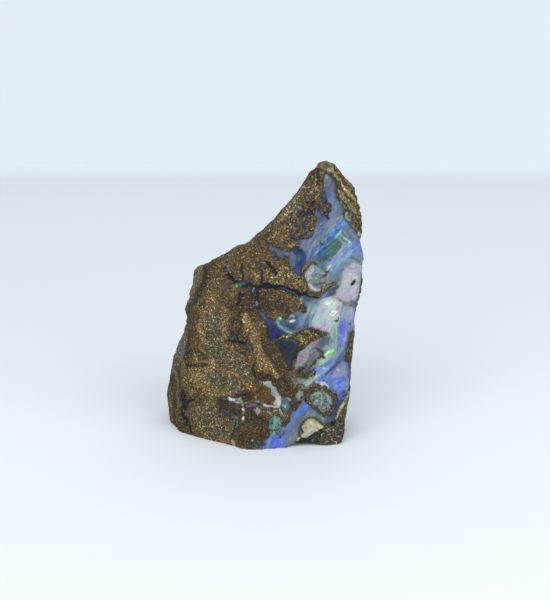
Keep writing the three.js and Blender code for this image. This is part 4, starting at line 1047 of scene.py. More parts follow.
streaks("potch",
    ("8d95a6", "1.2 13.1, 1.6 12.4, 1.8 11.8", 0.6, 0.4),
    ("a8aaa4", "0 14.3, 0.8 14.1", 0.5, 0.4),
    ("b8b8b4", "-0.7 9.7, 0.2 9.2, 1.2 9.1, 2.4 9.1", 0.5, 0.3),
    ("98988f", "0.1 8.3, 0.8 7.8, 1.3 7.6", 0.55, 0.35),
    ("a2a4a0", "2.6 9.1, 3 8.1, 3.6 7.2", 0.5, 0.3),
)
streak("rock", "5f482c", "0.8 8.5, 2.2 8.7", wide=0.35, soft=0.3)
patch("opal", "586880", "3.2 11.2, 4.4 11.2, 5.1 10.6, 5.2 10.3, 4.8 9.9, 5 9, 4.8 8.3, 3.8 8, 3.4 8.4, "
      "3.1 9.2, 3.3 10", soft=0.3)
streak("potch", "9c967e", "4.4 10.9, 5 10.5", wide=0.4, soft=0.3)
streak("opal", "4b697b", "3.8 8.6, 4.1 8.2", wide=0.5, soft=0.4)
streak("opal", "8a9cac", "3.3 9.4, 4.4 9.4", wide=0.4, soft=0.35)
streak("glint", "88d088", "3.9 9.1, 4.1 8.9", wide=0.45, soft=0.3)
streak("opal", "6c82a8", "4.8 9.2, 4.9 8.8", wide=0.4, soft=0.3)

# The ring: a shell of ironstone round a milky green and blue heart.
patch("rock", "4c3f2e", "8 10.3, 8.4 11.4, 8.2 12.2, 9 12.9, 9.5 13.7, 10.3 14.1, 11.4 13.8, 12.6 13.4, "
      "13.4 12.5, 14.3 11.7, 15 11.2, 15 10.2, 14.6 8.9, 13.9 8, 13.1 7.2, 12.2 7, 11.4 7.4, 10.6 8, "
      "9.9 8.6, 9.2 9.3, 8.6 9.8", soft=0.25)
patch("potch", "6d7b74", "9 11.2, 9.6 12.2, 10.6 12.6, 11.8 12.6, 12.8 12.2, 13.6 11.4, 14.2 10.2, "
      "13.8 9.2, 13 8.2, 12.2 7.9, 11.4 8.2, 10.6 8.8, 9.8 9.6, 9.2 10.4", soft=0.5, ragged=2)
streak("opal", "8cbc94", "9.8 11.6, 10.6 12, 11.4 11.8", wide=0.5, soft=0.4)
streak("potch", "94a8a8", "12.2 11.8, 13.2 10.8, 13.4 9.8", wide=0.5, soft=0.4)
streak("opal", "7cac84", "10.6 10.8, 10.9 10.2", wide=1.0, soft=0.6)
streak("glint", "88c890", "10.7 10.7, 10.9 10.3", wide=0.4, soft=0.3)
streak("opal", "5f6f92", "12.3 10.5, 12.7 9.8", wide=0.9, soft=0.6)
streaks("potch",
    ("868a98", "11.6 9.3, 12.1 8.8", 0.6, 0.4),
    ("7e9280", "11.6 11.4, 12.2 11", 0.7, 0.5),
    ("696d66", "9.7 11, 9.9 10.3", 0.5, 0.4),
)
specks("potch", "a4b4a8 8c9c98 5c6864 4c4840 98a8c0 b4bcb4",
       "9.7 11, 11.4 12, 13 10.8, 13.2 9.4, 12.2 8.6, 10.6 9.6", 110, small=0.15, large=0.35, cover=0.7)
specks("potch", "3a342c 443c30 2f2c28 d0dcd4 9adca0",
       "9.3 11.2, 10.8 12.4, 13 11.8, 14 10.2, 13 8.6, 11.6 8.4, 9.8 9.9",
       60, small=0.15, large=0.3, cover=0.75)
specks("rock", "7c5c34 8a6a40 2e2620 6a5034 9a8862",
       "8.4 10.4, 8.6 12.2, 9.8 13.6, 12 13.3, 14.2 11.4, 14.6 9.6, 13 7.5, 12 7.5, 13.8 9.2, 13.4 11.4, "
       "11.4 12.6, 9.4 11.8, 9.4 9.9", 70, small=0.18, large=0.4, cover=0.7)
streak("potch", "9c9486", "10.3 12.9, 10.5 12.7", wide=0.45, soft=0.3)
streak("potch", "857b6c", "11.3 12.9, 11.8 12.5", wide=0.35, soft=0.3)
streak("sand", "7a5c36", "9.4 13.4, 10.2 13.8, 10.8 13.6", wide=0.4, soft=0.3)
streak("sand", "705636", "8.7 11.4, 9 10.4, 9.8 9.4", wide=0.5, soft=0.4)
streak("opal", "838d7c", "11.2 7.6, 11.9 7.3", wide=0.35, soft=0.3)

# The foot at the right: a cream knot, black slate and speckled rock, under a yellow line.
patch("rock", "453e34", "12 4.9, 12.6 5.5, 13.6 6, 14.6 6.9, 15.6 8.3, 16.4 10, 17.2 11.8, 17.8 12, "
      "17.2 6, 17 0, 10.4 -0.5, 10.4 1.6, 11.4 3.4", soft=0.35)
specks("rock", "8a8678 6c685c 2a2722 55504a 3a352e 9a968a 242220",
       "12.2 5, 14 6, 15.4 6.8, 16.6 6, 16.6 1, 10.8 0.8, 11.4 3", 120, small=0.18, large=0.5, cover=0.75)
streak("potch", "94928a", "13 3.1, 13.6 3.5", wide=0.4, soft=0.3)
streak("potch", "8e8c84", "13.3 2.5, 14 2.4, 14.2 2.8", wide=0.35, soft=0.3)
streak("rock", "28251f", "13.6 5.4, 14.4 6", wide=0.9, soft=0.5)
streak("rock", "5a4632", "12.4 5.7, 12.7 5.4", wide=0.5, soft=0.3)
streak("sand", "5f583c", "17 11.4, 16.6 9.4, 16 7.8, 15.4 6.8", wide=1.1, soft=0.6)
streak("cream", "a29c68", "17.3 12.4, 16.8 10.9, 16.1 9.6, 15.4 8.2, 14.6 6.8",
       wide=0.55, soft=0.3, taper=0.4)
streak("cream", "c0bc94", "16.5 10.4, 16 9.4, 15.7 8.8", wide=0.3, soft=0.25)
streak("cream", "a89e5c", "17.2 12.2, 17 11.2", wide=0.4, soft=0.3)
patch("vein", "2b2f31", "6.6 2, 7.4 2.5, 8.6 2.3, 9.2 3, 10.4 3.9, 11.4 4.4, 12 4.3, 11.4 3.2, 10.8 2, "
      "10.4 0.4, 6.2 0.4, 6.2 1.4", soft=0.3)
specks("vein", "8c9090 5a6062 6e7476 1c1f20 484e52",
       "9 1.4, 11.6 4.2, 11.2 2.8, 10.4 1.2", 22, small=0.2, large=0.4, cover=0.7)
streak("vein", "52504a", "7.3 4.2, 7.6 3.7", wide=0.7, soft=0.4)
streak("vein", "484c50", "7.2 5.4, 7.8 5.9, 8.2 6.3", wide=0.5, soft=0.4)
patch("cream", "acae96", "7.4 4.8, 7.8 5.6, 8.6 6.3, 9.4 6.6, 10.4 6.2, 11.2 5.6, 12.1 5.1, 11.7 4.3, "
      "10.9 4.3, 10.4 3.8, 9.6 3.4, 9 2.8, 8.4 2.4, 7.6 2.6, 7.3 3.2, 7.8 3.8", soft=0.25)
streaks("cream",
    ("a4945a", "7.6 4.8, 8 5.5, 8.7 6.2, 9.4 6.5, 10.3 6.2, 11 5.7", 0.4, 0.3),
    ("d2caa2", "9.3 6.1, 9.5 5.5", 0.75, 0.4),
    ("8c8858", "8 4.9, 8.3 4.5", 0.6, 0.35),
    ("9e9c66", "8.2 3, 8.8 3", 0.7, 0.4),
    ("b4baae", "8.8 4.6, 9.6 4.2", 0.8, 0.5),
    ("bfbfa4", "10.6 5.2, 11.6 4.9", 0.6, 0.4),
    ("c4c4ac", "11 4.9, 11.7 4.5", 0.3, 0.3),
)
streak("rock", "8a8a70", "9.2 5.2, 9.9 4.6", wide=0.35, soft=0.35)
streak("cream", "bcbc9c", "6.5 2, 7 2.6", wide=0.55, soft=0.3)

# The outer edge below the column: a strip of dark rock.
patch("rock", "50442f", "19 25, 18.2 24.8, 17.8 24.1, 17.6 23, 17.4 21.6, 17 20.4, 16.7 19.3, 17.1 18.9, "
      "17.6 18.4, 17.8 16.8, 17.8 14, 17.6 12.4, 18 12, 20 12", soft=0.3)
specks("rock", "7c6c48 3a3226 8a7a54 5e523c",
       "17.9 24, 18.4 24.4, 18.3 19, 17.4 19.2, 17.6 21", 34, small=0.18, large=0.4, cover=0.7)
streak("opal", "747c86", "17.3 21.6, 17 20.4", wide=0.3, soft=0.25)
streak("rock", "45453f", "16.3 19.4, 16.9 18.6", wide=0.5, soft=0.35)
streak("potch", "8a9298", "16.2 19, 16.6 19.4", wide=0.3, soft=0.25)

# The cracked azure flash, the dark green glass below it and its bright green edge.
patch("opal", "47656c", "10.5 40.7, 11.4 42, 12.8 43, 14.2 44.2, 15.3 45, 16.4 44.1, 15.6 42.2, "
      "13.9 40.2, 11.9 39.1, 10.8 39.8", soft=0.7, ragged=1.6)
patch("opal", "4c7e60", "12.8 42.5, 13.6 43.5, 14.5 44.2, 15.4 43.8, 14.6 42.2, 13.2 41.5",
      soft=0.9, ragged=2.5, cover=0.75)
streak("opal", "5f8a8c", "12 41.4, 13.4 42.6, 14.8 43.8", wide=0.35, soft=0.3, cover=0.7)
streak("opal", "6a8aa0", "11.4 40.6, 12.8 41.2, 14 42", wide=0.3, soft=0.3, cover=0.6)
patch("opal", "3f5f6c", "11 40.4, 12 41, 13.2 41, 13 40, 12 39.4", soft=0.6, ragged=1.5)
streak("opal", "36599c", "12.4 43.3, 13.2 44.3, 14.3 45.4", wide=0.8, soft=0.5, ragged=2, cover=0.8)
patch("opal", "4a80cc", "13.5 45.2, 14 46.2, 15 47.2, 16 47.9, 16.7 47.5, 16.4 46.9, 15.6 46.3, "
      "14.9 45.5, 14.2 44.9", soft=0.5, ragged=3, cover=0.85)
streaks("opal",
    ("4f9ae6", "13.8 45.4, 14.5 46.2", 0.7, 0.3, 1.0, 3),
    ("86c0ec", "13.7 45.7, 14.4 46.5", 0.25, 0.25, 1.0, 2),
    ("3c66b0", "14.4 45.2, 15.4 46.1", 0.3, 0.25, 1.0, 2),
    ("82b4dc", "15.2 46.8, 16.3 47.5", 0.4, 0.35, 0.8, 3),
    ("6a8fc0", "14.7 47.2, 15.6 47.8", 0.3, 0.3, 0.7),
    ("2f58a0", "14.9 45.9, 14.5 46.8", 0.25, 0.2),
    ("37609a", "15.8 46.6, 15.4 47.6", 0.25, 0.2),
)
streak("opal", "3b86e0", "10.4 41.2, 11.3 42.1, 12.4 42.9", wide=0.28, soft=0.25, taper=0.3)
streaks("opal",
    ("2c4f9a", "10.9 41, 11.8 42, 12.8 42.8", 0.5, 0.3, 0.8),
    ("7ab8e8", "10.5 41.4, 11.1 42", 0.15, 0.2),
    ("7cc0a8", "14.4 44.9, 15.4 45.6, 15.8 45.9", 0.4, 0.3),
    ("90c8a8", "15.9 45.3, 16.8 44.4, 17.4 43.7", 0.28, 0.25, 0.85),
    ("54786c", "15.6 45.2, 16.5 44.2, 17.1 43.6", 0.2, 0.2, 0.8),
)
streak("glint", "94dc58", "17.3 43.8, 17.6 43.5", wide=0.35, soft=0.25)
streak("opal", "a8b4b4", "15.6 44.8, 16.3 43.4, 15.9 42.3, 14.8 40.9", wide=0.35, soft=0.3, cover=0.8)
streak("opal", "98a6a8", "15.2 44.6, 15.8 43.6", wide=0.3, soft=0.25, cover=0.8)

# The rosy-white patch by the right edge, under a band of grey-blue glass.
patch("opal", "8090a0", "16.4 38.4, 17.4 40, 18.6 40.8, 19.8 40.6, 21 40, 21.4 37, 20 36.4, 18.4 37.6",
      soft=0.6, ragged=1.6)
streak("opal", "4c6070", "17.6 40.4, 18.8 40.2, 19.6 39.4, 20.2 38.6", wide=0.3, soft=0.3)
patch("potch", "a8a7b2", "16.5 38, 17.4 39, 18.6 39.4, 19.6 38.8, 21 38, 21 34.4, 20 33.2, 19 31.6, "
      "17.6 31.2, 15.8 31.7, 14.4 32, 15 33.4, 15.7 34.8, 16.1 36.4", soft=0.8, ragged=2)
patch("opal", "8f9fae", "19.4 38.4, 21 37.6, 21 33.6, 19.8 33.4, 18.9 34.6, 19 36.6",
      soft=0.8, ragged=2, cover=0.75)
streaks("potch",
    ("b3adb9", "16.7 37.7, 17.2 36.2, 16.8 34.6, 16 33, 15 32.3", 1.0, 0.7, 0.8),
    ("bcc4c8", "17.6 37.2, 18.8 36.4, 18.6 34.6, 17.8 33", 0.9, 0.7, 0.7),
    ("8d90a0", "17 38.4, 18 38, 19.2 38.2", 0.35, 0.3, 0.7),
)
specks("potch", "b4a0c4 9fb4c8 a4bcb4 b8bcc4 8a90a8 c0a8b4",
       "16.4 38, 18.6 39.2, 20.6 37.4, 19.6 33, 17.4 31.4, 14.8 32.2, 15.8 35",
       60, small=0.4, large=1.0, cover=0.35)
patch("rock", "2c2a26", "17.8 34.6, 18 35.3, 18.6 35.8, 18.9 35.4, 18.5 34.7", soft=0.25)

# Cooler, livelier tints in the milky body and down the blue band beside it.
patch("opal", "a9bac6", "10.4 30.4, 11.2 31, 12 30.2, 12.2 28.4, 11.6 26.4, 10.4 26, 9.9 27.6",
      soft=0.9, cover=0.6)
specks("opal", "b48cc0 8ca0d8 d0a0b8 88c8c0 e0e4e4 7fa8c8 c8b0c8",
       "9.6 25.8, 10.2 30, 13.4 31.2, 15.2 30.6, 14.6 27, 12.6 24.8, 11 25",
       150, small=0.25, large=0.6, cover=0.45)
patch("potch", "b59cb4", "9.4 25.8, 10.8 26.4, 12.4 26, 13 25, 12.4 24.3, 11 25.2",
      soft=0.7, cover=0.6, ragged=2)
streaks("opal",
    ("5567cf", "16.4 27.2, 16 25.2, 15.7 23.4, 15.4 21.8", 1.3, 0.9, 0.75),
    ("4c58c8", "15.6 26.4, 15.5 25", 0.5, 0.4, 0.8),
    ("52668c", "16.9 22.6, 16.3 20.2, 15.2 18.2, 13.8 16.8", 0.9, 0.7, 0.7),
)
specks("opal", "9a86d8 6a8ae0 88b8d8 b8a0d8",
       "15 29, 17.6 29, 18 26, 16.8 22, 15 22", 60, small=0.25, large=0.6, cover=0.4)

# Red and pink in the rosy pool, and the brown crumbs lying in its grey lower end.
specks("opal", "c8506c d87a90 b06888 7cc8b0 8c8cc0 a8b0c0",
       "6.2 16, 6.6 19.4, 8.6 22, 10.6 23.4, 10.6 21.6, 9.4 19.6, 8.6 17",
       90, small=0.2, large=0.45, cover=0.6)
streak("opal", "c8506c", "7 20.2, 7.3 19.7, 7.7 19.3", wide=0.35, soft=0.3, ragged=2)
streak("opal", "c86c84", "10 22.3, 10.7 22.9", wide=0.35, soft=0.3)
patch("potch", "6a6866", "6.6 17.6, 7.6 18, 9.2 18, 10.2 17.2, 10.3 15.9, 9.4 15, 8 15, 6.9 15.9",
      soft=0.8, ragged=2.5, cover=0.85)
specks("rock", "4a3826 33291f 6e5230 2c2620 8a6a3c 7c8078",
       "6.2 17.4, 8.4 18.2, 10.4 17.4, 10.4 15.4, 8.8 14.6, 6.8 15.4", 70, small=0.2, large=0.5, cover=0.85)
streak("potch", "8ea698", "8 14, 9.2 14.3, 10.4 14.9, 11.4 16", wide=0.6, soft=0.5, ragged=2.5)
specks("opal", "e0e4ec 9a90e0 6c78e8 4a50d8 88a8e0",
       "15 14.2, 16.6 16.6, 17.6 14.8, 17.4 11.4, 16.2 9.6, 15 11", 110, small=0.2, large=0.4, cover=0.6)

# Rusty and pale flecks in the cream block, and grey ones in the corner rock beneath it.
specks("cream", "b4a060 8a7440 dcdcd0 5c5444 f0ecd8 a89a58",
       "8.6 3.2, 10.2 6.4, 12.6 4.2, 10.8 2.6, 9.4 1.4", 110, small=0.15, large=0.35, cover=0.7)
specks("rock", "8a8a84 6f6a5c 9a989a 44423c 5c6a6a 7a6a4c",
       "11.6 4, 14 5, 16.4 4.4, 17.6 2, 17 -0.6, 13.6 -0.6, 12.6 1.4", 150, small=0.2, large=0.5, cover=0.7)
patch("potch", "6b988c", "0.7 6.6, 1.8 7.2, 2.8 6.4, 3.2 5, 2.8 3.6, 1.6 3.1, 0.8 3.6, 0.7 5",
      soft=0.6, ragged=3.5, cover=0.75)
specks("rock", "4a3826 33291f 6e5230",
       "-0.6 7.4, 1.8 8, 3.8 6.8, 4 3, 2.4 2.2, 0 3", 50, small=0.2, large=0.5, cover=0.8)
specks("potch", "8cbcac 5a7c74 909894 4c4a44 7cb4a4",
       "0.4 7, 2.2 7.4, 3.4 5.6, 3 3, 1 2.8", 50, small=0.2, large=0.45, cover=0.7)

# The dull rosy-brown knob standing in the seam, and the crisp tan bed under the peak.
patch("rock", "4c3f40", "11 50.6, 11.4 51.8, 12.4 52.1, 13.4 51.4, 13.4 50.2, 12.6 49.4, 11.6 49.6",
      soft=0.5, ragged=2.5, cover=0.75)
patch("opal", "586a92", "12.2 54.6, 12.6 53, 13.2 52.2, 13.6 53.4, 13.2 55.2",
      soft=0.9, ragged=2.5, cover=0.7)
streak("opal", "6c7488", "13.2 57.6, 13.7 56, 14.2 54.6", wide=0.9, soft=0.6, ragged=2, cover=0.7)
streak("beds", "2f281c", "14.2 58.2, 15.6 57, 16.6 55.6, 17.6 54.4, 19 53.2",
       wide=0.35, soft=0.3, ragged=3, cover=0.8)
streak("beds", "a88c58", "14.1 57.6, 15.2 56.7, 16.1 55.4, 17.1 54, 18.5 52.7",
       wide=0.5, soft=0.2, ragged=1.6, taper=0.3)
streak("beds", "c8ae78", "15.4 56.3, 16.3 55, 17 54", wide=0.2, soft=0.15)
streak("beds", "33291c", "13.9 57, 15 56, 15.9 54.6, 16.9 53.2, 18.2 52",
       wide=0.4, soft=0.3, ragged=3, cover=0.8)
specks("beds", "2c2519 3c3222 8c7a50 4a3f2a 241e15 9c8656",
       "14 60.4, 16.8 58.4, 19.6 55, 20.6 50, 20 45.6, 18.4 46.6, 17 49.4, 16 52, 14.6 56",
       420, small=0.18, large=0.45, cover=0.7)

# Crumbs and bright points in the ring nodule, and grains along the pale string.
specks("potch", "4a4438 5a4c3a 7ac884 b0b8b4 6a78b8 4a5450 98a8a0",
       "8.8 11.4, 10.2 13, 12.6 12.8, 14.4 10.4, 13.4 8.2, 11.8 7.6, 9.8 9.2",
       110, small=0.15, large=0.35, cover=0.75)
specks("rock", "2a2119 4c3822 7a5e38 3a2c1e",
       "8.2 12.6, 9.4 14.6, 11.6 14.8, 14 13.4, 15.4 11, 14.6 8.6, 13 6.6, 11.6 6.8, 9.6 8.8, 8.4 10.6",
       70, small=0.15, large=0.45, cover=0.6)
specks("potch", "dcdce0 5c5850 a8acac 8a8070 e8e4e0 44403a",
       "-2.8 15, -0.6 14.8, 1.6 12.4, 2.4 9, 1.2 8.4, -0.8 9.6, -0.6 12.2",
       90, small=0.15, large=0.35, cover=0.7)

# Cracks across the azure flash, and the darkest depths of the two navy pools.
for crack in (
    "13.5 46.1, 14.7 44.9", "14.3 46.9, 15.3 45.8", "15.1 47.6, 16 46.5", "12.2 44, 13 43.1",
    "11.2 42.5, 11.9 41.7",
):
    streak("opal", "6484ac", crack, wide=0.22, soft=0.25, ragged=2, cover=0.8)
patch("opal", "1d2a5c", "0.4 26.2, 1.8 26, 3.2 24.4, 2.6 23.2, 1.2 22.9, 0.4 24.2",
      soft=0.9, ragged=2, cover=0.75)
patch("opal", "232938", "3.2 23, 5.8 22.8, 6.4 21, 5.8 18.8, 4.6 18.2, 3.8 20.4",
      soft=1.1, ragged=2, cover=0.6)
streak("opal", "3c4c74", "3.4 23.2, 4.8 23.1, 6.2 22.6", wide=0.5, soft=0.5, cover=0.6)
streak("potch", "b4b8c6", "11 14, 12 13.9, 12.8 13.4, 13.3 12.8", wide=0.4, soft=0.3, ragged=2)
streak("potch", "93a698", "8 15, 9.4 14.6, 10.6 15.2, 11.8 16.4", wide=0.4, soft=0.4, ragged=3, cover=0.7)
streak("opal", "64748e", "0.4 42.9, 1.4 42.2, 2.2 41.8, 3.2 41.2, 4.6 41.4",
       wide=0.8, soft=0.5, ragged=3, cover=0.8)

# The opal is never even: faint wisps run through it along the way its flashes lie.
FLASH_LEAN = math.radians(56)
bent = front.flat + 0.8 * sway(front.flat, 2.6, (21, 22))
along = bent[:, 0] * math.cos(FLASH_LEAN) + bent[:, 1] * math.sin(FLASH_LEAN)
aside = bent[:, 1] * math.cos(FLASH_LEAN) - bent[:, 0] * math.sin(FLASH_LEAN)
wisps = 0.6 * lattice(np.stack([along / 2.4, aside / 0.55], axis=1), 1.0, 23)
wisps += 0.4 * lattice(np.stack([along / 1.1, aside / 0.28], axis=1), 1.0, 24)
glassy = np.clip(front.stuff[:, 0] * 1.5 - 0.5, 0, 1)
earthy = front.stuff[:, 1] * (1 - front.stuff[:, 0]) * (1 - 6 * np.clip(front.stuff[:, 2], 0, 0.12))
rusting = 0.6 * lattice(front.flat, 1.7, 61) + 0.4 * lattice(front.flat, 0.6, 62)
shady = 0.5 * lattice(front.flat, 1.1, 63) + 0.5 * lattice(front.flat, 0.45, 64)
front.colour *= 1 + (0.15 * earthy * rusting)[:, None] * np.array([0.95, 0.5, -0.5])
front.colour *= 1 + (0.17 * earthy * shady)[:, None]
paler = np.clip(1.25 - front.colour.mean(axis=1) * 1.3, 0.2, 1)
front.colour *= 1 + (0.26 * wisps * glassy * paler)[:, None] * np.array([1.15, 1.0, 0.75])
front.colour[:, 1] *= 1 + 0.07 * lattice(bent, 1.3, 25) * glassy

# Round the sides and the back the rock is the same ironstone, in sandy beds that dip to one side.
behind = MarkMap(across, up, "54442f")
everywhere = np.arange(len(spots))
warped = spots + 1.6 * sway(spots, 5.0, (31, 32, 33))
warped += 0.35 * sway(spots, 1.1, (34, 35, 36))
level = warped @ np.array([0.78, 0.22, 0.58])
beds = lattice(np.stack([level / 3.6, warped[:, 1] / 14, warped[:, 2] / 22], axis=1), 1.0, 37)
thin_beds = lattice(np.stack([level / 1.1, warped[:, 1] / 12, warped[:, 2] / 16], axis=1), 1.0, 38)
sandy = np.clip((beds - 0.18) / 0.14, 0, 1)
behind.lay(everywhere, np.clip((0.1 - beds) / 0.4, 0, 1) * 0.7, "rock", "3d3124")
behind.lay(everywhere, sandy, "sand", "75684a")
behind.lay(everywhere, sandy * np.clip((beds - 0.42) / 0.2, 0, 1), "sand", "68634d")
behind.lay(everywhere, np.clip((thin_beds - 0.25) / 0.3, 0, 1) * 0.45, "sand", "85764f")
behind.lay(everywhere, np.clip((-thin_beds - 0.35) / 0.3, 0, 1) * 0.6, "rock", "352b21")
rim = np.clip(1 - np.abs(beds - 0.14) / 0.05, 0, 1)
behind.lay(everywhere, rim * 0.7, "rock", "33291f")
rusty = np.clip((lattice(warped, 4.5, 39) + 0.4 * lattice(warped, 1.3, 40) - 0.5) / 0.3, 0, 1)
behind.lay(everywhere, rusty * 0.4, "stain", "6c4420")

# Thin seams of opal and dark potch run through the lump, so they come out on its sides and back.
for slope, offset, thick, seed in (
    ((0.62, 0.30, 0.72), 17.5, 0.50, 51),
    ((-0.50, 0.45, 0.74), 16.0, 0.22, 52),
    ((0.86, -0.42, -0.28), 9.0, 0.30, 53),
    ((0.25, 0.60, 0.76), 37.0, 0.35, 54),
):
    bend = spots + 2.4 * sway(spots, 7.0, (seed, seed + 10, seed))
    bend += 0.8 * sway(spots, 1.4, (seed + 20, seed + 30, seed + 20))
    away = np.abs(bend @ np.array(slope) - offset)
    swell = thick * (0.35 + 1.9 * lattice(spots, 7.0, seed + 40) + 0.7 * lattice(spots, 1.6, seed + 50))
    potch = np.clip((swell + 0.45 - away) / 0.35, 0, 1) * (swell > -0.1)
    behind.lay(everywhere, potch * 0.75, "vein", "2c2c2e")
    opal = np.clip((swell - away) / 0.22, 0, 1)
    hue = lattice(spots, 2.8, seed + 60) + 0.5 * lattice(bend, 0.8, seed + 70)
    behind.lay(everywhere, opal, "opal", "4d6486")
    behind.lay(everywhere, opal * np.clip(hue * 2.5, 0, 1), "opal", "6f97c4")
    behind.lay(everywhere, opal * np.clip(-hue * 2.5, 0, 1), "opal", "5b8a86")
    behind.lay(everywhere, opal * np.clip((hue - 0.55) * 5, 0, 1), "opal", "b4c4cc")
    behind.lay(everywhere, opal * np.clip((-hue - 0.6) * 5, 0, 1), "opal", "6f7488")

# Where the skin turns away from the front, the front's marks give way to these over a short way.
turned = np.clip((facing + 0.01) / 0.08, 0, 1)
turned = turned * turned * (3 - 2 * turned)
colour = behind.colour + (front.colour - behind.colour) * turned[:, None]
stuff = behind.stuff + (front.stuff - behind.stuff) * turned[:, None]

# Where rock meets opal a thin dark line runs along the join: partly the broken edge's own dark rim, partly
# painted shade where the rock stands proud of the opal.
gloss, grain, height, held, glass = stuff.T
colour = colour * (1 - 1.7 * glass * (1 - glass))[:, None]

# The skin is roughened by the stuff it is: rock crumbles in grains, opal is smooth and dips a little.
rough = 0.16 * lattice(spots, 1.7, 41) + 0.12 * lattice(spots, 0.85, 42) + 0.09 * lattice(spots, 0.45, 43)
smooth = 0.10 * lattice(spots, 2.4, 44) + 0.03 * lattice(spots, 0.9, 45)
broad = 0.42 * lattice(spots, 6.5, 46) + 0.26 * lattice(spots, 3.1, 47) - 0.10
lift = height + rough * grain + smooth * (1 - grain) + broad * (1 - turned)
on_base = np.clip((spots[:, 2] - 0.15) / 0.9, 0, 1)
lift *= np.where(normals[:, 2] < -0.5, 0, on_base)
moved = spots + normals * lift[:, None]
moved[(normals[:, 2] < -0.7) & (spots[:, 2] < 0.5), 2] = 0.0
moved[:, 2] = np.maximum(moved[:, 2], 0.0)

# The foot is chipped under the opal's front edge, and its right-hand corner is rounded off.
chip = np.clip(1 - ((moved[:, 0] - 8.6) / 3.4) ** 2, 0, 1) * np.clip(1 - (moved[:, 1] + 9.5) / 3.0, 0, 1)
moved[:, 2] = np.maximum(moved[:, 2], 1.1 * np.sqrt(chip))
corner = np.clip((moved[:, 0] - 15.0) / 3.0, 0, 1) * np.clip(1 - moved[:, 2] / 1.8, 0, 1) ** 2
moved[:, 0] -= 0.9 * corner
stone.data.vertices.foreach_set("co", (moved * MM).ravel())
stone.data.update()

# The painted colours are kept on the skin's points, with their gloss and grain, for the material.
linear = np.where(colour <= 0.04045, colour / 12.92, ((np.abs(colour) + 0.055) / 1.055) ** 2.4)
linear = np.maximum(linear - 0.014 * gloss[:, None], 0.004) / held[:, None]
linear *= np.array([0.955, 1.0, 1.0]) + np.array([0.045, -0.03, -0.09]) * gloss[:, None]
tint = stone.data.attributes.new("tint", "FLOAT_COLOR", "POINT")
tint.data.foreach_set("color", np.hstack([np.clip(linear, 0, 0.95), np.ones((len(linear), 1))]).ravel())
for name, values in (("gloss", gloss), ("grain", grain)):
    kept = stone.data.attributes.new(name, "FLOAT", "POINT")
    kept.data.foreach_set("value", np.clip(values, 0, 1))
for face in stone.data.polygons:
    face.use_smooth = True

# The stone's one material: tinted skin, broken into sandy grains where it is rock, glassy where opal.
GRAIN_SIZE = 0.20 * MM
MOTTLE_SIZE = 1.1 * MM
FIBRE_LEAN = math.radians(-47)
FIBRE_LENGTH = 2.2 * MM
FIBRE_WIDTH = 0.24 * MM
FIBRE_WAVER = 0.0016
BUMP_SIZE = 0.5 * MM
BUMP_HEIGHT = 0.12 * MM
skin = bpy.data.materials.new("ironstone_and_opal")
skin.use_nodes = True
nodes = skin.node_tree.nodes
links = skin.node_tree.links
surface = nodes["Principled BSDF"]


def node(kind, **settings):
    made = nodes.new(kind)
    for name, value in settings.items():
        setattr(made, name, value)
    return made


def join(source, target):
    links.new(source, target)


def attribute(name):
    return node("ShaderNodeAttribute", attribute_name=name)


def maths(operation, first, second):
    made = node("ShaderNodeMath", operation=operation)
    for socket, value in zip(made.inputs, (first, second)):
        if isinstance(value, (int, float)):
            socket.default_value = value
        else:
            join(value, socket)
    return made.outputs[0]


def noise(source, scale, detail=2.0):
    made = node("ShaderNodeTexNoise")
    made.inputs["Scale"].default_value = scale
    made.inputs["Detail"].default_value = detail
    join(source, made.inputs["Vector"])
    return made


def multiplied(first, second):
    made = node("ShaderNodeMix", data_type="RGBA", blend_type="MULTIPLY", clamp_result=False)
    made.inputs[0].default_value = 1.0
    join(first, made.inputs[6])
    join(second, made.inputs[7])
    return made.outputs[2]


def ramped(source, steps):
    # The first two steps are the ramp's ends, and the others come between them.
    made = node("ShaderNodeValToRGB")
    ramp = made.color_ramp.elements
    for end, (position, shade) in zip(ramp, steps):
        end.position = position
        end.color = (*shade, 1)
    for position, shade in steps[2:]:
        step = ramp.new(position)
        step.color = (*shade, 1)
    join(source, made.inputs[0])
    return made.outputs[0]


place = node("ShaderNodeTexCoord").outputs["Object"]
grains = node("ShaderNodeTexVoronoi", feature="F1")
grains.inputs["Scale"].default_value = 1 / GRAIN_SIZE
join(place, grains.inputs["Vector"])
pick = node("ShaderNodeSeparateColor")
join(grains.outputs["Color"], pick.inputs[0])
# The grains run from dark brown to golden tan; the brightest few, at the ramp's top, are painted sparkle:
# glints of light off the sand grains.
grain_shades_and_sparkle = ramped(pick.outputs[0], (
    (0.0, (0.32, 0.27, 0.22)),
    (1.0, (3.8, 3.95, 3.5)),
    (0.45, (0.58, 0.53, 0.45)),
    (0.78, (0.90, 0.90, 0.84)),
    (0.90, (1.45, 1.50, 1.38)),
    (0.96, (2.3, 2.42, 2.15)),
))
hues = node("ShaderNodeMix", data_type="RGBA", blend_type="MIX", clamp_result=False)
hues.inputs[6].default_value = (1.08, 0.97, 0.74, 1)
hues.inputs[7].default_value = (0.96, 1.01, 1.25, 1)
join(pick.outputs[1], hues.inputs[0])
mottle = noise(place, 1 / MOTTLE_SIZE, 4)
mottled = maths("ADD", maths("MULTIPLY", mottle.outputs[0], 1.3), 0.35)
speckled = node("ShaderNodeMix", data_type="RGBA", blend_type="MIX")
join(attribute("grain").outputs["Fac"], speckled.inputs[0])
speckled.inputs[6].default_value = (1, 1, 1, 1)
join(multiplied(multiplied(grain_shades_and_sparkle, mottled), hues.outputs[2]), speckled.inputs[7])
tinted = multiplied(attribute("tint").outputs["Color"], speckled.outputs[2])

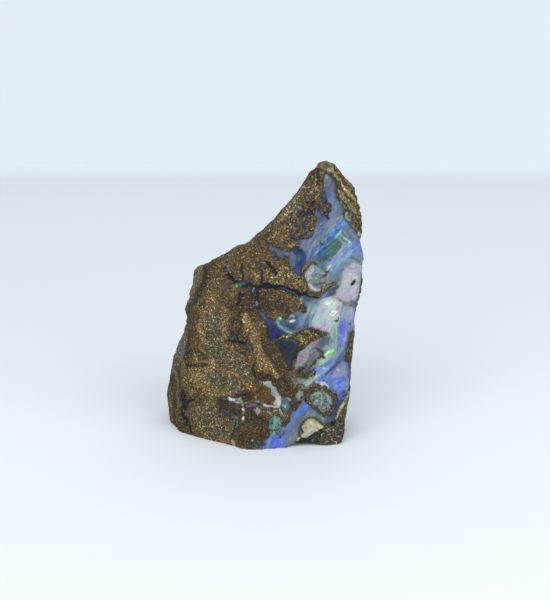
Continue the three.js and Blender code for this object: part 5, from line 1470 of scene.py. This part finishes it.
# Hair-fine fibres inside the opal lie along its flashes, up to the right.
laid = node("ShaderNodeMapping", vector_type="TEXTURE")
laid.inputs["Rotation"].default_value = (0, FIBRE_LEAN, 0)
laid.inputs["Scale"].default_value = (FIBRE_LENGTH, FIBRE_LENGTH, FIBRE_WIDTH)
wavy = noise(place, 1 / FIBRE_LENGTH)
pushed = node("ShaderNodeMix", data_type="VECTOR")
pushed.inputs[0].default_value = FIBRE_WAVER
join(place, pushed.inputs[4])
join(wavy.outputs["Color"], pushed.inputs[5])
join(pushed.outputs[1], laid.inputs["Vector"])
fibre = noise(laid.outputs[0], 1.0)
fibrous = node("ShaderNodeMix", data_type="RGBA", blend_type="MIX")
join(maths("MULTIPLY", attribute("gloss").outputs["Fac"], 0.55), fibrous.inputs[0])
fibrous.inputs[6].default_value = (1, 1, 1, 1)
join(maths("ADD", maths("MULTIPLY", fibre.outputs[0], 1.7), 0.15), fibrous.inputs[7])
join(multiplied(tinted, fibrous.outputs[2]), surface.inputs["Base Color"])

dull = maths("MULTIPLY", attribute("gloss").outputs["Fac"], -0.6)
join(maths("ADD", dull, 0.92), surface.inputs["Roughness"])
join(maths("MULTIPLY", attribute("gloss").outputs["Fac"], 0.2), surface.inputs["Coat Weight"])
surface.inputs["Coat Roughness"].default_value = 0.12
surface.inputs["Specular IOR Level"].default_value = 0.2

bumps = noise(place, 1 / BUMP_SIZE, 3)
lumps = maths("ADD", maths("MULTIPLY", pick.outputs[0], 0.35), maths("MULTIPLY", bumps.outputs[0], 0.9))
relief = node("ShaderNodeBump")
relief.inputs["Distance"].default_value = BUMP_HEIGHT
join(maths("MULTIPLY", attribute("grain").outputs["Fac"], 0.9), relief.inputs["Strength"])
join(lumps, relief.inputs["Height"])
join(relief.outputs[0], surface.inputs["Normal"])
stone.data.materials.append(skin)

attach(stone, "root")
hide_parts("boulder_opal")

# ---- The floor and the backdrop -------------------------------------------------------------
# A plain pale table top that the stone stands on, its colour painted lighter in front and darker toward the
# back as the lamps' light falls off, and a pale wall far behind. Both are flat sheets, and the wall gives its
# own even light.
FLOOR_MIDDLE = (0, -0.388, 0)
WALL_MIDDLE = (0, 0.9, 0)
bpy.ops.mesh.primitive_plane_add(size=1, location=FLOOR_MIDDLE)
floor = bpy.context.active_object
floor.name = "floor"
floor.scale = (3.0, 1.2, 1)
table_top = bpy.data.materials.new("pale_table")
table_top.use_nodes = True
nodes = table_top.node_tree.nodes
links = table_top.node_tree.links
nodes["Principled BSDF"].inputs["Roughness"].default_value = 0.7
nodes["Principled BSDF"].inputs["Specular IOR Level"].default_value = 0.2
depth = node("ShaderNodeSeparateXYZ")
join(node("ShaderNodeTexCoord").outputs["Object"], depth.inputs[0])
# Painted light: the table top's colour is lighter in front and darker toward its back edge, standing in for
# the lamps' light falling off.
painted_floor_falloff = ramped(maths("ADD", depth.outputs["Y"], 0.5), (
    (0.748, (0.88, 0.885, 0.905)),
    (1.0, (0.83, 0.88, 0.92)),
    (0.818, (0.82, 0.845, 0.87)),
    (0.888, (0.765, 0.79, 0.815)),
    (0.963, (0.745, 0.775, 0.80)),
    (0.985, (0.725, 0.755, 0.78)),
))
join(painted_floor_falloff, nodes["Principled BSDF"].inputs["Base Color"])
floor.data.materials.append(table_top)
bpy.ops.mesh.primitive_plane_add(size=4, location=WALL_MIDDLE, rotation=(math.radians(90), 0, 0))
backdrop = bpy.context.active_object
backdrop.name = "backdrop"
pale_wall = bpy.data.materials.new("pale_wall")
pale_wall.use_nodes = True
wall_surface = pale_wall.node_tree.nodes["Principled BSDF"]
wall_surface.inputs["Base Color"].default_value = (0, 0, 0, 1)
wall_surface.inputs["Specular IOR Level"].default_value = 0
wall_surface.inputs["Emission Color"].default_value = (0.775, 0.865, 0.94, 1)
wall_surface.inputs["Emission Strength"].default_value = 1.0
backdrop.data.materials.append(pale_wall)

# ---- The lights -----------------------------------------------------------------------------
# A broad soft lamp up to the left in front, a weaker one to the right, and a pale, even room.
LAMPS_AIM = Vector((0, 0, 0.03))


def lamp(name, place, size, watts, colour):
    light = bpy.data.lights.new(name, "AREA")
    light.shape = "SQUARE"
    light.size = size
    light.energy = watts
    light.color = colour
    holder = bpy.data.objects.new(name, light)
    bpy.context.collection.objects.link(holder)
    holder.location = place
    holder.rotation_euler = (LAMPS_AIM - Vector(place)).to_track_quat("-Z", "Y").to_euler()


lamp("key_light", (-0.34, -0.62, 0.70), 0.65, 3.6, (1.0, 0.98, 0.95))
lamp("fill_light", (0.55, -0.45, 0.55), 0.7, 3.1, (0.95, 0.98, 1.0))
room = bpy.data.worlds.new("pale_room")
bpy.context.scene.world = room
room.use_nodes = True
room.node_tree.nodes["Background"].inputs["Color"].default_value = (0.86, 0.93, 1.0, 1)
room.node_tree.nodes["Background"].inputs["Strength"].default_value = 0.675

# ---- The camera -----------------------------------------------------------------------------
# A long lens a third of a metre away, level from side to side and looking down by twenty degrees.
camera = bpy.data.objects.new("camera", bpy.data.cameras.new("camera"))
bpy.context.collection.objects.link(camera)
camera.data.lens = 100
camera.data.sensor_width = 36
camera.data.sensor_fit = "AUTO"
camera.data.clip_start = 0.01
camera.data.clip_end = 20
camera.location = EYE * MM
camera.rotation_euler = (math.radians(90 - LOOK_DOWN), 0, 0)
bpy.context.scene.camera = camera
bpy.context.scene.view_settings.view_transform = "Standard"
